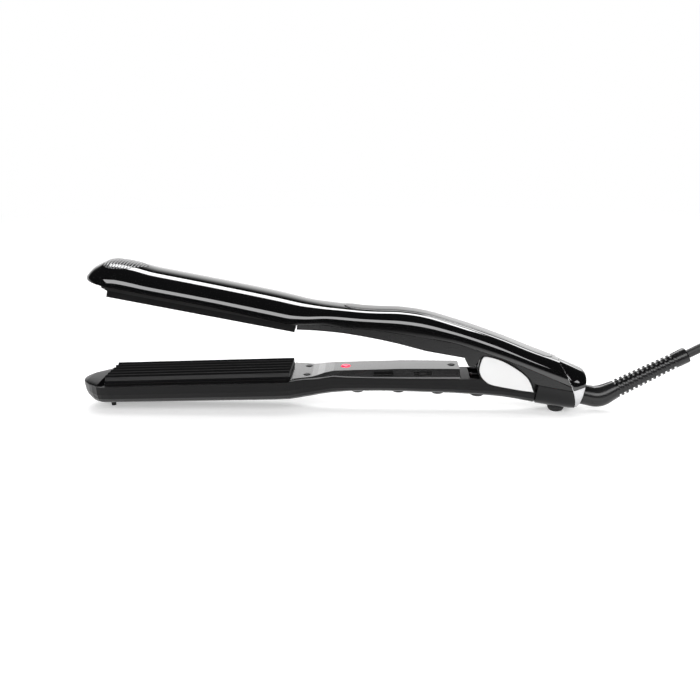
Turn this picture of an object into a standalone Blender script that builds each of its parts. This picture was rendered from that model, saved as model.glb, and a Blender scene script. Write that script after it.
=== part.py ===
"""Hair crimper: two hinged arms with ribbed heating plates, switches, cord and plug."""
import math

import bmesh
import bpy
from mathutils import Vector

# Driving dimensions, in metres. Along an arm, x runs from the hinge axis to the cord.
HANDLE_REACH = 0.1080
NECK_LENGTH = 0.0165
PLATE_LENGTH = 0.1084
NOSE_LENGTH = 0.0166
TAIL_LENGTH = 0.0465
HEAD_HALF = 0.0210
HANDLE_HALF = 0.0150
UPPER_HEIGHT = 0.0279
LOWER_DEPTH = 0.0171
COVER_WALL = 0.0016
FRAME_WALL = 0.0014
GAP = 0.0003
LAP = 0.0016
HINGE_HEIGHT = 0.02225
PIN_RADIUS = 0.0025
PIN_HALF = 0.0113
RIB_PITCH = 0.0054
RIB_HEIGHT = 0.0040
CREST_LEVEL = 0.0091
HAIR_GAP = 0.0006
OVERRUN = 0.0010
UPPER_TILT = math.radians(10.55)
LOWER_TILT = math.radians(-2.1)
ARCH_POWER = 2.4
BELLY_POWER = 2.7
ARC_STEPS = 12

PLATE_REAR = -(HANDLE_REACH + NECK_LENGTH)
PLATE_FRONT = PLATE_REAR - PLATE_LENGTH
NOSE_TIP = PLATE_FRONT - NOSE_LENGTH
ZONES = {
    "nose": (PLATE_FRONT, NOSE_TIP),
    "plate": (PLATE_REAR, PLATE_FRONT),
    "neck": (-HANDLE_REACH, PLATE_REAR),
    "handle": (0.0, -HANDLE_REACH),
    "tail": (0.0, TAIL_LENGTH),
}
WIDTHS = {
    "nose": HEAD_HALF,
    "plate": HEAD_HALF,
    "neck": HEAD_HALF,
    "handle": HANDLE_HALF,
    "tail": HANDLE_HALF,
}

# Strain relief of the cord, where it leaves the end face
BOOT_LEVEL = -0.0034
BOOT_STRAIGHT = 0.0080
BOOT_BEND_RADIUS = 0.0120
BOOT_RISE = math.radians(28.5)
BOOT_SLEEVE = 0.0520
BOOT_ROOT_RADIUS = 0.0060
BOOT_COLLAR_RADIUS = 0.0047


def turned(x, z, tilt):
    """Place of an arm's point in the upright plane, from the hinge axis."""
    return (x * math.cos(tilt) + z * math.sin(tilt), z * math.cos(tilt) - x * math.sin(tilt))


def boot_point(s):
    """Place and heading of the strain relief at a distance from the end face."""
    x, z = turned(TAIL_LENGTH, BOOT_LEVEL, UPPER_TILT)
    heading = -UPPER_TILT
    first = min(s, BOOT_STRAIGHT)
    x += first * math.cos(heading)
    z += first * math.sin(heading)
    bend = min(max(s - BOOT_STRAIGHT, 0.0), boot_bend_length())
    turn = bend / BOOT_BEND_RADIUS
    x += BOOT_BEND_RADIUS * (math.sin(heading + turn) - math.sin(heading))
    z += BOOT_BEND_RADIUS * (math.cos(heading) - math.cos(heading + turn))
    heading += turn
    rest = max(s - BOOT_STRAIGHT - boot_bend_length(), 0.0)
    return x + rest * math.cos(heading), z + rest * math.sin(heading), heading


def boot_bend_length():
    return BOOT_BEND_RADIUS * (BOOT_RISE + UPPER_TILT)


BOOT_LENGTH = BOOT_STRAIGHT + boot_bend_length() + BOOT_SLEEVE
NOSE_REACH = -NOSE_TIP * math.cos(LOWER_TILT)
BOOT_REACH = boot_point(BOOT_LENGTH)[0] + BOOT_COLLAR_RADIUS * math.sin(BOOT_RISE)
HINGE_X = (NOSE_REACH - BOOT_REACH) / 2


def profile(shares, scale):
    """Smooth size along an arm through rows of (zone, share of the zone, share of the scale)."""
    rows = []
    for zone, along, share in shares:
        start, end = ZONES[zone]
        size = scale[zone] if isinstance(scale, dict) else scale
        rows.append((start + along * (end - start), share * size))
    rows.sort()
    xs = [row[0] for row in rows]
    ys = [row[1] for row in rows]
    slopes = [(ys[i + 1] - ys[i]) / (xs[i + 1] - xs[i]) for i in range(len(xs) - 1)]
    tangents = [slopes[0]]
    for before, after in zip(slopes, slopes[1:]):
        level = before * after <= 0
        tangents.append(0.0 if level else 2 * before * after / (before + after))
    tangents.append(slopes[-1])

    def value(x):
        x = min(max(x, xs[0]), xs[-1])
        i = 0
        while i < len(xs) - 2 and x > xs[i + 1]:
            i += 1
        width = xs[i + 1] - xs[i]
        t = (x - xs[i]) / width
        return (
            ys[i] * (1 + 2 * t) * (1 - t) ** 2
            + ys[i + 1] * t * t * (3 - 2 * t)
            + width * t * (1 - t) * (tangents[i] * (1 - t) - tangents[i + 1] * t)
        )

    return value


def place(zone, share):
    start, end = ZONES[zone]
    return start + share * (end - start)


# Outlines of the upper arm, as shares of the widths and of the upper height
UPPER_HALF_SHARES = (
    ("nose", 1.0, 0.06), ("nose", 0.96, 0.22), ("nose", 0.85, 0.44), ("nose", 0.73, 0.61),
    ("nose", 0.55, 0.77), ("nose", 0.31, 0.905), ("nose", 0.07, 0.97), ("plate", 0.96, 1.0),
    ("plate", 0.2, 1.0), ("plate", 0.03, 0.98), ("neck", 0.73, 0.886), ("neck", 0.24, 0.79),
    ("handle", 0.96, 1.027), ("handle", 0.9, 1.0), ("tail", 0.3, 1.0), ("tail", 0.6, 0.985),
    ("tail", 0.9, 0.93), ("tail", 1.0, 0.84),
)
UPPER_CROWN_SHARES = (
    ("nose", 1.0, 0.44), ("nose", 0.93, 0.5), ("nose", 0.85, 0.573), ("nose", 0.73, 0.667),
    ("nose", 0.55, 0.753), ("nose", 0.31, 0.832), ("nose", 0.07, 0.867), ("plate", 0.96, 0.878),
    ("plate", 0.88, 0.867), ("plate", 0.8, 0.842), ("plate", 0.56, 0.839), ("plate", 0.18, 0.821),
    ("plate", 0.03, 0.799), ("neck", 0.73, 0.785), ("neck", 0.24, 0.792), ("handle", 0.96, 0.81),
    ("handle", 0.83, 0.853), ("handle", 0.73, 0.907), ("handle", 0.62, 0.975),
    ("handle", 0.51, 1.0), ("handle", 0.315, 0.939), ("handle", 0.074, 0.803),
    ("tail", 0.314, 0.642), ("tail", 0.58, 0.57), ("tail", 1.0, 0.412),
)
UPPER_EDGE_SHARES = (
    ("nose", 1.0, 0.42), ("plate", 0.94, 0.444), ("plate", 0.5, 0.441), ("plate", 0.235, 0.412),
    ("plate", 0.01, 0.38), ("neck", 0.55, 0.416), ("handle", 1.0, 0.478), ("handle", 0.954, 0.465),
    ("handle", 0.75, 0.545), ("handle", 0.6, 0.573), ("handle", 0.34, 0.595),
    ("handle", 0.164, 0.52), ("tail", 0.08, 0.401), ("tail", 0.25, 0.344), ("tail", 0.52, 0.244),
    ("tail", 0.77, 0.151), ("tail", 0.88, 0.108), ("tail", 1.0, 0.1),
)
UPPER_FRAME_SHARES = (
    ("plate", 0.0, 0.283), ("handle", 0.99, 0.326), ("handle", 0.83, 0.358), ("handle", 0.7, 0.358),
    ("handle", 0.593, 0.344), ("handle", 0.45, 0.301), ("handle", 0.285, 0.308),
    ("handle", 0.15, 0.319),
)
SKIRT_SHARES = (
    ("handle", 0.26, 0.31), ("handle", 0.235, 0.29), ("handle", 0.215, 0.16),
    ("handle", 0.178, 0.16), ("handle", 0.165, 0.36), ("handle", 0.15, 0.444),
    ("handle", 0.117, 0.464), ("handle", 0.03, 0.432), ("tail", 0.129, 0.306),
    ("tail", 0.286, 0.143), ("tail", 0.37, 0.05), ("tail", 0.43, 0.036), ("tail", 1.0, 0.036),
)
TAIL_BELLY_SHARES = (
    ("tail", 0.4, -0.457), ("tail", 0.7, -0.443), ("tail", 0.92, -0.427), ("tail", 1.0, -0.387),
)
UPPER_HALF = profile(UPPER_HALF_SHARES, WIDTHS)
UPPER_CROWN = profile(UPPER_CROWN_SHARES, UPPER_HEIGHT)
UPPER_EDGE = profile(UPPER_EDGE_SHARES, UPPER_HEIGHT)
UPPER_FRAME_EDGE = profile(UPPER_FRAME_SHARES, UPPER_HEIGHT)
SKIRT_EDGE = profile(SKIRT_SHARES, UPPER_HEIGHT)
TAIL_BELLY = profile(TAIL_BELLY_SHARES, UPPER_HEIGHT)

# Outlines of the lower arm, as shares of the widths and of the lower depth
LOWER_HALF_SHARES = (
    ("nose", 1.0, 0.05), ("nose", 0.985, 0.14), ("nose", 0.92, 0.3), ("nose", 0.8, 0.467),
    ("nose", 0.62, 0.66), ("nose", 0.47, 0.79), ("nose", 0.18, 0.965), ("plate", 0.97, 0.99),
    ("plate", 0.05, 0.985), ("plate", 0.01, 0.955), ("neck", 0.97, 0.925), ("neck", 0.82, 0.84),
    ("neck", 0.39, 0.714), ("handle", 0.954, 0.9),
    ("handle", 0.68, 0.9), ("handle", 0.42, 0.887), ("handle", 0.28, 0.87),
    ("handle", 0.185, 0.847), ("tail", 0.38, 0.847),
)
LOWER_BELLY_SHARES = (
    ("nose", 1.0, 0.13), ("nose", 0.985, 0.03), ("nose", 0.92, -0.19), ("nose", 0.8, -0.33),
    ("nose", 0.62, -0.444), ("nose", 0.47, -0.509), ("nose", 0.18, -0.538), ("plate", 0.96, -0.541),
    ("plate", 0.5, -0.567), ("plate", 0.05, -0.594), ("neck", 0.82, -0.585), ("neck", 0.39, -0.547),
    ("handle", 0.954, -0.456), ("handle", 0.84, -0.409), ("handle", 0.68, -0.421),
    ("handle", 0.42, -0.515), ("handle", 0.28, -0.573), ("handle", 0.185, -0.637),
    ("handle", 0.09, -0.696), ("tail", 0.0, -0.772), ("tail", 0.38, -1.0),
)
LOWER_RIM_SHARES = (
    ("nose", 1.0, 0.228), ("neck", 0.8, 0.228), ("neck", 0.1, 0.199), ("handle", 0.92, 0.262),
    ("handle", 0.88, 0.234), ("handle", 0.73, 0.181), ("handle", 0.454, 0.111),
    ("handle", 0.15, 0.047), ("tail", 0.38, 0.03),
)
PANEL_HALF_SHARES = (
    ("plate", 0.0, 0.81), ("neck", 0.6, 0.72), ("neck", 0.25, 0.64), ("handle", 0.97, 0.7),
    ("handle", 0.92, 0.6), ("handle", 0.55, 0.6), ("handle", 0.24, 0.57),
)
PANEL_TOP_SHARES = (
    ("plate", 0.0, 0.304), ("neck", 0.25, 0.304), ("handle", 0.97, 0.38), ("handle", 0.92, 0.418),
    ("handle", 0.55, 0.421), ("handle", 0.37, 0.386), ("handle", 0.24, 0.357),
)
SHOULDER_SHARES = (
    ("plate", 0.0, 0.275), ("neck", 0.25, 0.262), ("handle", 0.97, 0.275), ("handle", 0.92, 0.316),
    ("handle", 0.85, 0.275), ("handle", 0.7, 0.222), ("handle", 0.45, 0.18), ("handle", 0.24, 0.14),
)
LOWER_HALF = profile(LOWER_HALF_SHARES, WIDTHS)
LOWER_BELLY = profile(LOWER_BELLY_SHARES, LOWER_DEPTH)
LOWER_RIM = profile(LOWER_RIM_SHARES, LOWER_DEPTH)
PANEL_HALF = profile(PANEL_HALF_SHARES, WIDTHS)
PANEL_TOP = profile(PANEL_TOP_SHARES, LOWER_DEPTH)
SHOULDER = profile(SHOULDER_SHARES, LOWER_DEPTH)


def clear_scene():
    for obj in list(bpy.data.objects):
        bpy.data.objects.remove(obj, do_unlink=True)


def finish(name, colour, roughness, metallic=0.0):
    """Principled material of one sub-part."""
    material = bpy.data.materials.new(name)
    material.use_nodes = True
    shader = material.node_tree.nodes["Principled BSDF"]
    shader.inputs["Base Color"].default_value = (*colour, 1.0)
    shader.inputs["Roughness"].default_value = roughness
    shader.inputs["Metallic"].default_value = metallic
    return material


BLACK = (0.012, 0.012, 0.013)
DARK = (0.045, 0.045, 0.047)
PANEL = (0.09, 0.09, 0.095)
CHARCOAL = (0.03, 0.03, 0.032)
GREY = (0.33, 0.33, 0.34)
SILVER = (0.72, 0.72, 0.72)
STEEL = (0.55, 0.55, 0.56)
IVORY = (0.75, 0.72, 0.62)
GREEN = (0.02, 0.16, 0.06)
RED = (0.8, 0.02, 0.05)
WHITE = (0.85, 0.85, 0.85)


def add_object(name, data, parent, colour, roughness, metallic=0.0):
    obj = bpy.data.objects.new(name, data)
    bpy.context.scene.collection.objects.link(obj)
    obj.parent = parent
    data.materials.append(finish(name, colour, roughness, metallic))
    return obj


def add_mesh(name, points, faces, parent, look, origin=(0.0, 0.0, 0.0), smooth=True):
    """Closed mesh from points of the parent's frame, its origin at a chosen place."""
    mesh = bpy.data.meshes.new(name)
    centre = Vector(origin)
    mesh.from_pydata([Vector(point) - centre for point in points], [], faces)
    work = bmesh.new()
    work.from_mesh(mesh)
    bmesh.ops.recalc_face_normals(work, faces=work.faces)
    work.to_mesh(mesh)
    work.free()
    if smooth:
        mesh.shade_smooth()
        mesh.set_sharp_from_angle(angle=math.radians(35))
    obj = add_object(name, mesh, parent, *look)
    obj.location = centre
    return obj


def combine(target, tool, operation):
    """Boolean of two solids; the tool stays as a hidden guide."""
    modifier = target.modifiers.new(tool.name, "BOOLEAN")
    modifier.operation = operation
    modifier.solver = "EXACT"
    modifier.object = tool
    tool.hide_render = True
    tool.display_type = "WIRE"


def cut(target, tool):
    combine(target, tool, "DIFFERENCE")


def unite(target, tool):
    combine(target, tool, "UNION")


def loft(name, rings, parent, look, **options):
    """Solid between rings of equal count, with a flat face on each end."""
    count = len(rings[0])
    points = [point for ring in rings for point in ring]
    faces = [tuple(range(count)), tuple(range((len(rings) - 1) * count, len(rings) * count))]
    for i in range(len(rings) - 1):
        for j in range(count):
            k = (j + 1) % count
            faces.append((i * count + j, i * count + k, (i + 1) * count + k, (i + 1) * count + j))
    return add_mesh(name, points, faces, parent, look, **options)


def shell(name, outers, inners, parent, look, closed=False):
    """Wall between outer and inner runs of points, one pair of runs for each station."""
    count = len(outers[0])
    stations = len(outers)
    points = [point for run in outers for point in run] + [point for run in inners for point in run]
    skin = stations * count
    faces = []
    spans = count if closed else count - 1
    for i in range(stations - 1):
        for j in range(spans):
            k = (j + 1) % count
            for base in (0, skin):
                low, high = base + i * count, base + (i + 1) * count
                faces.append((low + j, low + k, high + k, high + j))
        if not closed:
            for j in (0, count - 1):
                low, high = i * count + j, (i + 1) * count + j
                faces.append((low, high, skin + high, skin + low))
    for i in (0, stations - 1):
        for j in range(spans):
            k = (j + 1) % count
            low, high = i * count + j, i * count + k
            faces.append((low, high, skin + high, skin + low))
    return add_mesh(name, points, faces, parent, look)


def arch(half, base, crown, power=ARCH_POWER, steps=ARC_STEPS):
    """Points (y, z) over a rounded arch; a crown below the base gives a belly."""
    points = []
    for i in range(steps + 1):
        angle = math.pi * (1 - i / steps)
        across = math.cos(angle)
        rise = abs(math.sin(angle)) if 0 < i < steps else 0.0
        y = half * math.copysign(abs(across) ** (2 / power), across)
        points.append((y, base + (crown - base) * rise ** (2 / power)))
    return points


def arch_height(y, half, base, crown, power):
    share = min(abs(y) / half, 1.0)
    return base + (crown - base) * (1 - share**power) ** (1 / power)


def arch_half(z, half, base, crown, power):
    """Half-width of an arch at a height."""
    share = min(max((z - base) / (crown - base), 0.0), 1.0)
    return half * (1 - share**power) ** (1 / power)


def grow(outline, distance):
    """Closed outline moved outward by a distance; a negative one moves it inward."""
    area = 0.0
    for (ax, az), (bx, bz) in zip(outline, outline[1:] + outline[:1]):
        area += ax * bz - bx * az
    side = distance if area > 0 else -distance
    moved = []
    count = len(outline)
    for i in range(count):
        before = Vector(outline[i]) - Vector(outline[i - 1])
        after = Vector(outline[(i + 1) % count]) - Vector(outline[i])
        normal = Vector((before.y, -before.x)).normalized() + Vector((after.y, -after.x)).normalized()
        normal.normalize()
        edge = Vector((after.y, -after.x)).normalized()
        reach = side / max(normal.dot(edge), 0.5)
        moved.append((outline[i][0] + normal.x * reach, outline[i][1] + normal.y * reach))
    return moved


def smooth_open(points, steps):
    """Curve through points by the Catmull-Rom rule."""
    rows = [Vector(point) for point in points]
    rows = [rows[0] * 2 - rows[1]] + rows + [rows[-1] * 2 - rows[-2]]
    curve = []
    for i in range(1, len(rows) - 2):
        for j in range(steps):
            t = j / steps
            a, b, c, d = rows[i - 1], rows[i], rows[i + 1], rows[i + 2]
            curve.append(
                (b * 2 + (c - a) * t + (a * 2 - b * 5 + c * 4 - d) * t**2
                 + (b * 3 - a - c * 3 + d) * t**3) / 2
            )
    curve.append(rows[-2])
    return curve


def side_slab(name, outline, y_from, y_to, parent, look):
    """Outline in the arm's upright plane, as thick as the two y places are apart."""
    rings = [[(x, y, z) for x, z in outline] for y in (y_from, y_to)]
    return loft(name, rings, parent, look)


def block(name, low, high, parent, look):
    """Box between two corners."""
    rings = []
    for x in (low[0], high[0]):
        rings.append([(x, low[1], low[2]), (x, high[1], low[2]), (x, high[1], high[2]),
                      (x, low[1], high[2])])
    return loft(name, rings, parent, look, smooth=False)


def turned_solid(name, centre, axis, rows, parent, look, sides=16):
    """Turned solid: rows of (distance along the axis, radius) from a centre."""
    along = Vector(axis).normalized()
    first = along.orthogonal().normalized()
    second = along.cross(first)
    rings = []
    for distance, radius in rows:
        ring = []
        for i in range(sides):
            angle = 2 * math.pi * (i + 0.5) / sides
            offset = first * math.cos(angle) + second * math.sin(angle)
            ring.append(Vector(centre) + along * distance + offset * radius)
        rings.append(ring)
    return loft(name, rings, parent, look)


def turned_ring(name, centre, axis, rows, parent, look, sides=16):
    """Turned ring: rows of (distance along the axis, outer radius, inner radius)."""
    along = Vector(axis).normalized()
    first = along.orthogonal().normalized()
    second = along.cross(first)
    runs = ([], [])
    for row in rows:
        for run, radius in zip(runs, row[1:]):
            ring = []
            for i in range(sides):
                angle = 2 * math.pi * (i + 0.5) / sides
                offset = first * math.cos(angle) + second * math.sin(angle)
                ring.append(Vector(centre) + along * row[0] + offset * radius)
            run.append(ring)
    return shell(name, runs[0], runs[1], parent, look, closed=True)


def wire_curve(name, points, radius, parent, look, resolution):
    """Round wire through points, with closed ends."""
    data = bpy.data.curves.new(name, "CURVE")
    data.dimensions = "3D"
    data.bevel_depth = radius
    data.bevel_resolution = resolution
    data.use_fill_caps = True
    spline = data.splines.new("POLY")
    spline.points.add(len(points) - 1)
    for target, point in zip(spline.points, points):
        target.co = (*point, 1.0)
    return add_object(name, data, parent, *look)


# The collar's slanted seam, measured along the upper arm
TAIL_SEAM_LEVEL = 0.0010
SEAM_BOTTOM = -0.0107
SEAM_RISE = 0.0253
COLLAR_LENGTH = 0.0027
SEAM_LEAN = 0.0146
SEAM_CURVE_SHARE = 1.6


def seam(z):
    share = min(max((z - SEAM_BOTTOM) / SEAM_RISE, 0.0), 1.0)
    return TAIL_LENGTH - COLLAR_LENGTH - SEAM_LEAN * share**SEAM_CURVE_SHARE


# The hinge lug's outline, as shares of its span from the hinge axis
LEAF_SPAN = 0.0330
LEAF_SHARES = (
    (0.521, -0.264), (0.415, 0.003), (0.227, 0.182), (-0.039, 0.348), (-0.27, 0.432),
    (-0.385, 0.437), (-0.437, 0.342), (-0.47, 0.185), (-0.427, 0.048), (-0.339, -0.048),
    (-0.252, -0.1), (-0.097, -0.142), (0.255, -0.218), (0.521, -0.264),
)
LUG_INNER = 0.0098
LUG_OUTER = 0.0125
LUG_RIM = 0.0004
LEAF_INSET = 0.0006
LEAF_POCKET_INSET = 0.0003
LEAF_THICKNESS = 0.0008
LEAF_PROUD = 0.0001
SKIRT_INNER = 0.0129
SKIRT_INSET = 0.0004


def leaf_outline():
    points = [(x * LEAF_SPAN, z * LEAF_SPAN) for x, z in LEAF_SHARES]
    curve = smooth_open([Vector((x, z, 0.0)) for x, z in points], 3)
    return [(point.x, point.y) for point in curve[:-1]]


TAIL_FRONT = 0.0192
TAIL_FRONT_BREAK = 0.0047
TAIL_FRONT_LEAN_SHARE = 0.24


def tail_front(z):
    """Front edge of the tail housing, just behind the lug when the jaws are open."""
    return TAIL_FRONT + TAIL_FRONT_LEAN_SHARE * max(-z - TAIL_FRONT_BREAK, 0.0)


def make_arm(name, tilt):
    """Empty on the hinge axis that carries one arm at its open angle."""
    empty = bpy.data.objects.new(name, None)
    bpy.context.scene.collection.objects.link(empty)
    empty.location = (HINGE_X, 0.0, HINGE_HEIGHT)
    empty.rotation_euler = (0.0, tilt, 0.0)
    return empty


# Upper cover: a gloss shell with a solid nose, open below and at the slanted seam
COVER_STATIONS = (
    ("nose", (1.0, 0.96, 0.91, 0.85, 0.75, 0.6, 0.45, 0.25)),
    ("nose", (0.12,)),
    ("plate", (0.98, 0.9, 0.8, 0.5, 0.2, 0.05)),
    ("neck", (0.9, 0.6, 0.3)),
    ("handle", (1.0, 0.95, 0.87, 0.78, 0.68, 0.6, 0.5, 0.4, 0.27, 0.13, 0.0)),
    ("tail", (0.15,)),
)
COVER_TAIL_SHARE = 0.15
SOLID_NOSE_SHARE = 0.2
NOSE_FLOOR_SHARE = 0.8
TAIL_SPANS = 4


def cover_station(x, solid):
    half, edge, crown = UPPER_HALF(x), UPPER_EDGE(x), UPPER_CROWN(x)
    outer = arch(half, edge, crown)
    if solid:
        inner = arch(half * NOSE_FLOOR_SHARE, edge, edge - COVER_WALL / 4)
    else:
        inner = arch(half - COVER_WALL, edge, crown - COVER_WALL)
    return outer, inner


def make_upper_cover(arm):
    outers, inners = [], []
    for zone, shares in COVER_STATIONS:
        for share in shares:
            x = place(zone, share)
            outer, inner = cover_station(x, zone == "nose" and share > SOLID_NOSE_SHARE)
            outers.append([(x, y, z) for y, z in outer])
            inners.append([(x, y, z) for y, z in inner])
    start = place("tail", COVER_TAIL_SHARE)
    for step in range(1, TAIL_SPANS + 1):
        share = step / TAIL_SPANS
        for runs, index in ((outers, 0), (inners, 1)):
            run = []
            for j in range(ARC_STEPS + 1):
                x = start
                for _ in range(5):
                    y, z = cover_station(x, False)[index][j]
                    x = start + share * (seam(z) - start)
                run.append((x, y, z))
            runs.append(run)
    return shell("upper_cover", outers, inners, arm, (BLACK, 0.08))


# Inlays let into the top of the upper cover
PATCH_STEPS = 6
PATCH_SINK = 0.0006
PATCH_RISE = 0.0001
TIP_INLAY_SHARES = (
    (0.43, 0.3), (0.38, 0.5), (0.25, 0.63), (0.05, 0.68), (-0.2, 0.66), (-0.45, 0.56),
    (-0.65, 0.4), (-0.85, 0.2), (-0.97, 0.06),
)
STRIP_FRONT_SHARE = 0.92
STRIP_REAR_SHARE = 0.55
STRIP_HALF_SHARE = 0.6
STRIP_TIP_SHARES = (0.12, 0.45, 0.68, 0.85, 0.96)
STRIP_SPANS = 8


def surface_patch(name, shape, sink, rise, arm, look):
    """Solid that follows the upper cover's top: rows of (x, half-width)."""
    rings = []
    for x, half in shape:
        top, bottom = [], []
        for j in range(PATCH_STEPS + 1):
            y = half * (2 * j / PATCH_STEPS - 1)
            z = arch_height(y, UPPER_HALF(x), UPPER_EDGE(x), UPPER_CROWN(x), ARCH_POWER)
            top.append((x, y, z + rise))
            bottom.append((x, y, z - sink))
        rings.append(top + bottom[::-1])
    return loft(name, rings, arm, look)


def tip_inlay_shape(margin):
    """Leaf over the nose: distances from the plate's front edge, as shares of the nose."""
    rows = []
    for along, width in TIP_INLAY_SHARES:
        x = PLATE_FRONT - along * NOSE_LENGTH
        rows.append((x, width * HEAD_HALF + margin))
    rows[0] = (rows[0][0] - margin, rows[0][1])
    rows[-1] = (rows[-1][0] + margin, rows[-1][1])
    return rows


def handle_inlay_shape(margin):
    """Long strip over the handle with rounded ends."""
    front, rear = place("handle", STRIP_FRONT_SHARE), place("tail", STRIP_REAR_SHARE)
    half = STRIP_HALF_SHARE * HANDLE_HALF
    count = len(STRIP_TIP_SHARES)
    rows = []
    for i, share in enumerate(STRIP_TIP_SHARES):
        rows.append((front + half * i / count, half * share + margin))
    for i in range(STRIP_SPANS + 1):
        rows.append((front + half + (rear - front - 2 * half) * i / STRIP_SPANS, half + margin))
    for i, share in enumerate(reversed(STRIP_TIP_SHARES)):
        rows.append((rear - half * (count - 1 - i) / count, half * share + margin))
    rows[0] = (rows[0][0] - margin, rows[0][1])
    rows[-1] = (rows[-1][0] + margin, rows[-1][1])
    return rows


def make_inlays(arm, cover):
    for name, shape, look in (
        ("tip_inlay", tip_inlay_shape, (GREY, 0.3, 0.6)),
        ("handle_inlay", handle_inlay_shape, (BLACK, 0.1)),
    ):
        surface_patch(name, shape(0.0), PATCH_SINK, PATCH_RISE, arm, look)
        pocket = surface_patch(name + "_pocket", shape(GAP), PATCH_SINK + GAP, OVERRUN, arm, look)
        cut(cover, pocket)


# Upper frame: a tray under the handle, skirts past the hinge, and two ears on the pin
TRAY_STATION_SHARES = (
    ("neck", 0.94), ("neck", 0.6), ("neck", 0.2), ("handle", 0.97), ("handle", 0.9),
    ("handle", 0.8), ("handle", 0.7), ("handle", 0.6), ("handle", 0.45), ("handle", 0.3),
    ("handle", 0.18),
)
SKIRT_STATION_SHARES = (
    ("handle", 0.24), ("handle", 0.225), ("handle", 0.212), ("handle", 0.181), ("handle", 0.17),
    ("handle", 0.155), ("handle", 0.117), ("handle", 0.07), ("handle", 0.02), ("tail", 0.06),
    ("tail", 0.129), ("tail", 0.2), ("tail", 0.286), ("tail", 0.36), ("tail", 0.42), ("tail", 0.6),
)
FRAME_INSET = 0.0005
EAR_INNER = 0.0055
EAR_OUTER = 0.0093
EAR_RADIUS = 0.0056
EAR_SHARES = (
    (-4.1, 1.6), (-1.7, 1.4), (-1.25, 0.6), (-1.0, 0.0), (-0.7, -0.71), (0.0, -1.0), (2.5, -0.92),
    (4.6, -0.72), (4.6, 0.55), (1.8, 1.25), (-0.9, 2.2), (-4.1, 2.2),
)
PIN_GAP = 0.00008
BRIDGE_FRONT = -0.0225
BRIDGE_REAR = -0.0120
BRIDGE_LOW = 0.0080
BRIDGE_HIGH = 0.0104
WEB_FRONT_SHARE = 0.441
WEB_REAR_SHARE = 0.613
WEB_LOW = 0.0016
WEB_HIGH = 0.0036
SATIN = (DARK, 0.45)


def make_upper_frame(arm):
    rings = []
    for zone, share in TRAY_STATION_SHARES:
        x = place(zone, share)
        wide = UPPER_HALF(x) - SKIRT_INSET
        lap = UPPER_HALF(x) - COVER_WALL - FRAME_INSET
        low = UPPER_FRAME_EDGE(x)
        step = UPPER_EDGE(x) - GAP
        high = step + LAP
        side = [(wide - FRAME_WALL / 2, low), (wide, low + FRAME_WALL / 2), (wide, step),
                (lap, step), (lap, high), (lap - FRAME_WALL, high), (lap - FRAME_WALL, low + FRAME_WALL)]
        ring = [(x, y, z) for y, z in side] + [(x, -y, z) for y, z in reversed(side)]
        rings.append(ring)
    frame = loft("upper_frame", rings, arm, SATIN)
    for side in (-1, 1):
        rings = []
        for zone, share in SKIRT_STATION_SHARES:
            x = place(zone, share)
            rings.append(skirt_ring(x, x, side))
        top = seam(TAIL_SEAM_LEVEL)
        rings.append([(seam(z) - GAP / 2, y, z) for _, y, z in skirt_ring(top, top, side)])
        unite(frame, loft("skirt", rings, arm, SATIN))
        outline = [(x * EAR_RADIUS, z * EAR_RADIUS) for x, z in EAR_SHARES]
        unite(frame, side_slab("ear", outline, side * EAR_INNER, side * EAR_OUTER, arm, SATIN))
    bridge = block("bridge", (BRIDGE_FRONT, -EAR_OUTER, BRIDGE_LOW),
                   (BRIDGE_REAR, EAR_OUTER, BRIDGE_HIGH), arm, SATIN)
    unite(frame, bridge)
    width = SKIRT_INNER + FRAME_WALL / 2
    unite(frame, block("web", (place("tail", WEB_FRONT_SHARE), -width, WEB_LOW),
                       (place("tail", WEB_REAR_SHARE), width, WEB_HIGH), arm, SATIN))
    hole = turned_solid("pin_hole", (0.0, 0.0, 0.0), (0, 1, 0),
                        ((-LUG_OUTER, PIN_RADIUS + PIN_GAP), (LUG_OUTER, PIN_RADIUS + PIN_GAP)),
                        arm, SATIN)
    cut(frame, hole)
    return frame


def skirt_ring(x, at, side):
    wide = UPPER_HALF(x) - SKIRT_INSET
    low, high = SKIRT_EDGE(x), UPPER_EDGE(x) - GAP
    return [(at, side * SKIRT_INNER, low), (at, side * wide, low), (at, side * wide, high),
            (at, side * SKIRT_INNER, high)]


# Upper carrier, heater and plate
UPPER_PLATE_HALF = 0.0168
UPPER_PLATE_TOP = 0.0114
CARRIER_LOW = 0.0099
CARRIER_HIGH = 0.0153
CARRIER_INSET = 0.0005
CARRIER_OVERHANG = 0.0010
HEATER_LENGTH = 0.0880
HEATER_HALF = 0.0067
HEATER_THICKNESS = 0.0014
CARRIER_STATION_SHARES = (0.0, 0.03, 0.12, 0.9, 0.95, 0.98, 1.0)
RIBS = 6
RIB_POINTS = 6
LOWER_PLATE_HALF = 0.0172
LOWER_PLATE_BASE = 0.0035


def carrier_x(share):
    front = PLATE_FRONT - CARRIER_OVERHANG
    return front + min(max(share, 0.0), 1.0) * (PLATE_REAR - GAP - front)


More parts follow.
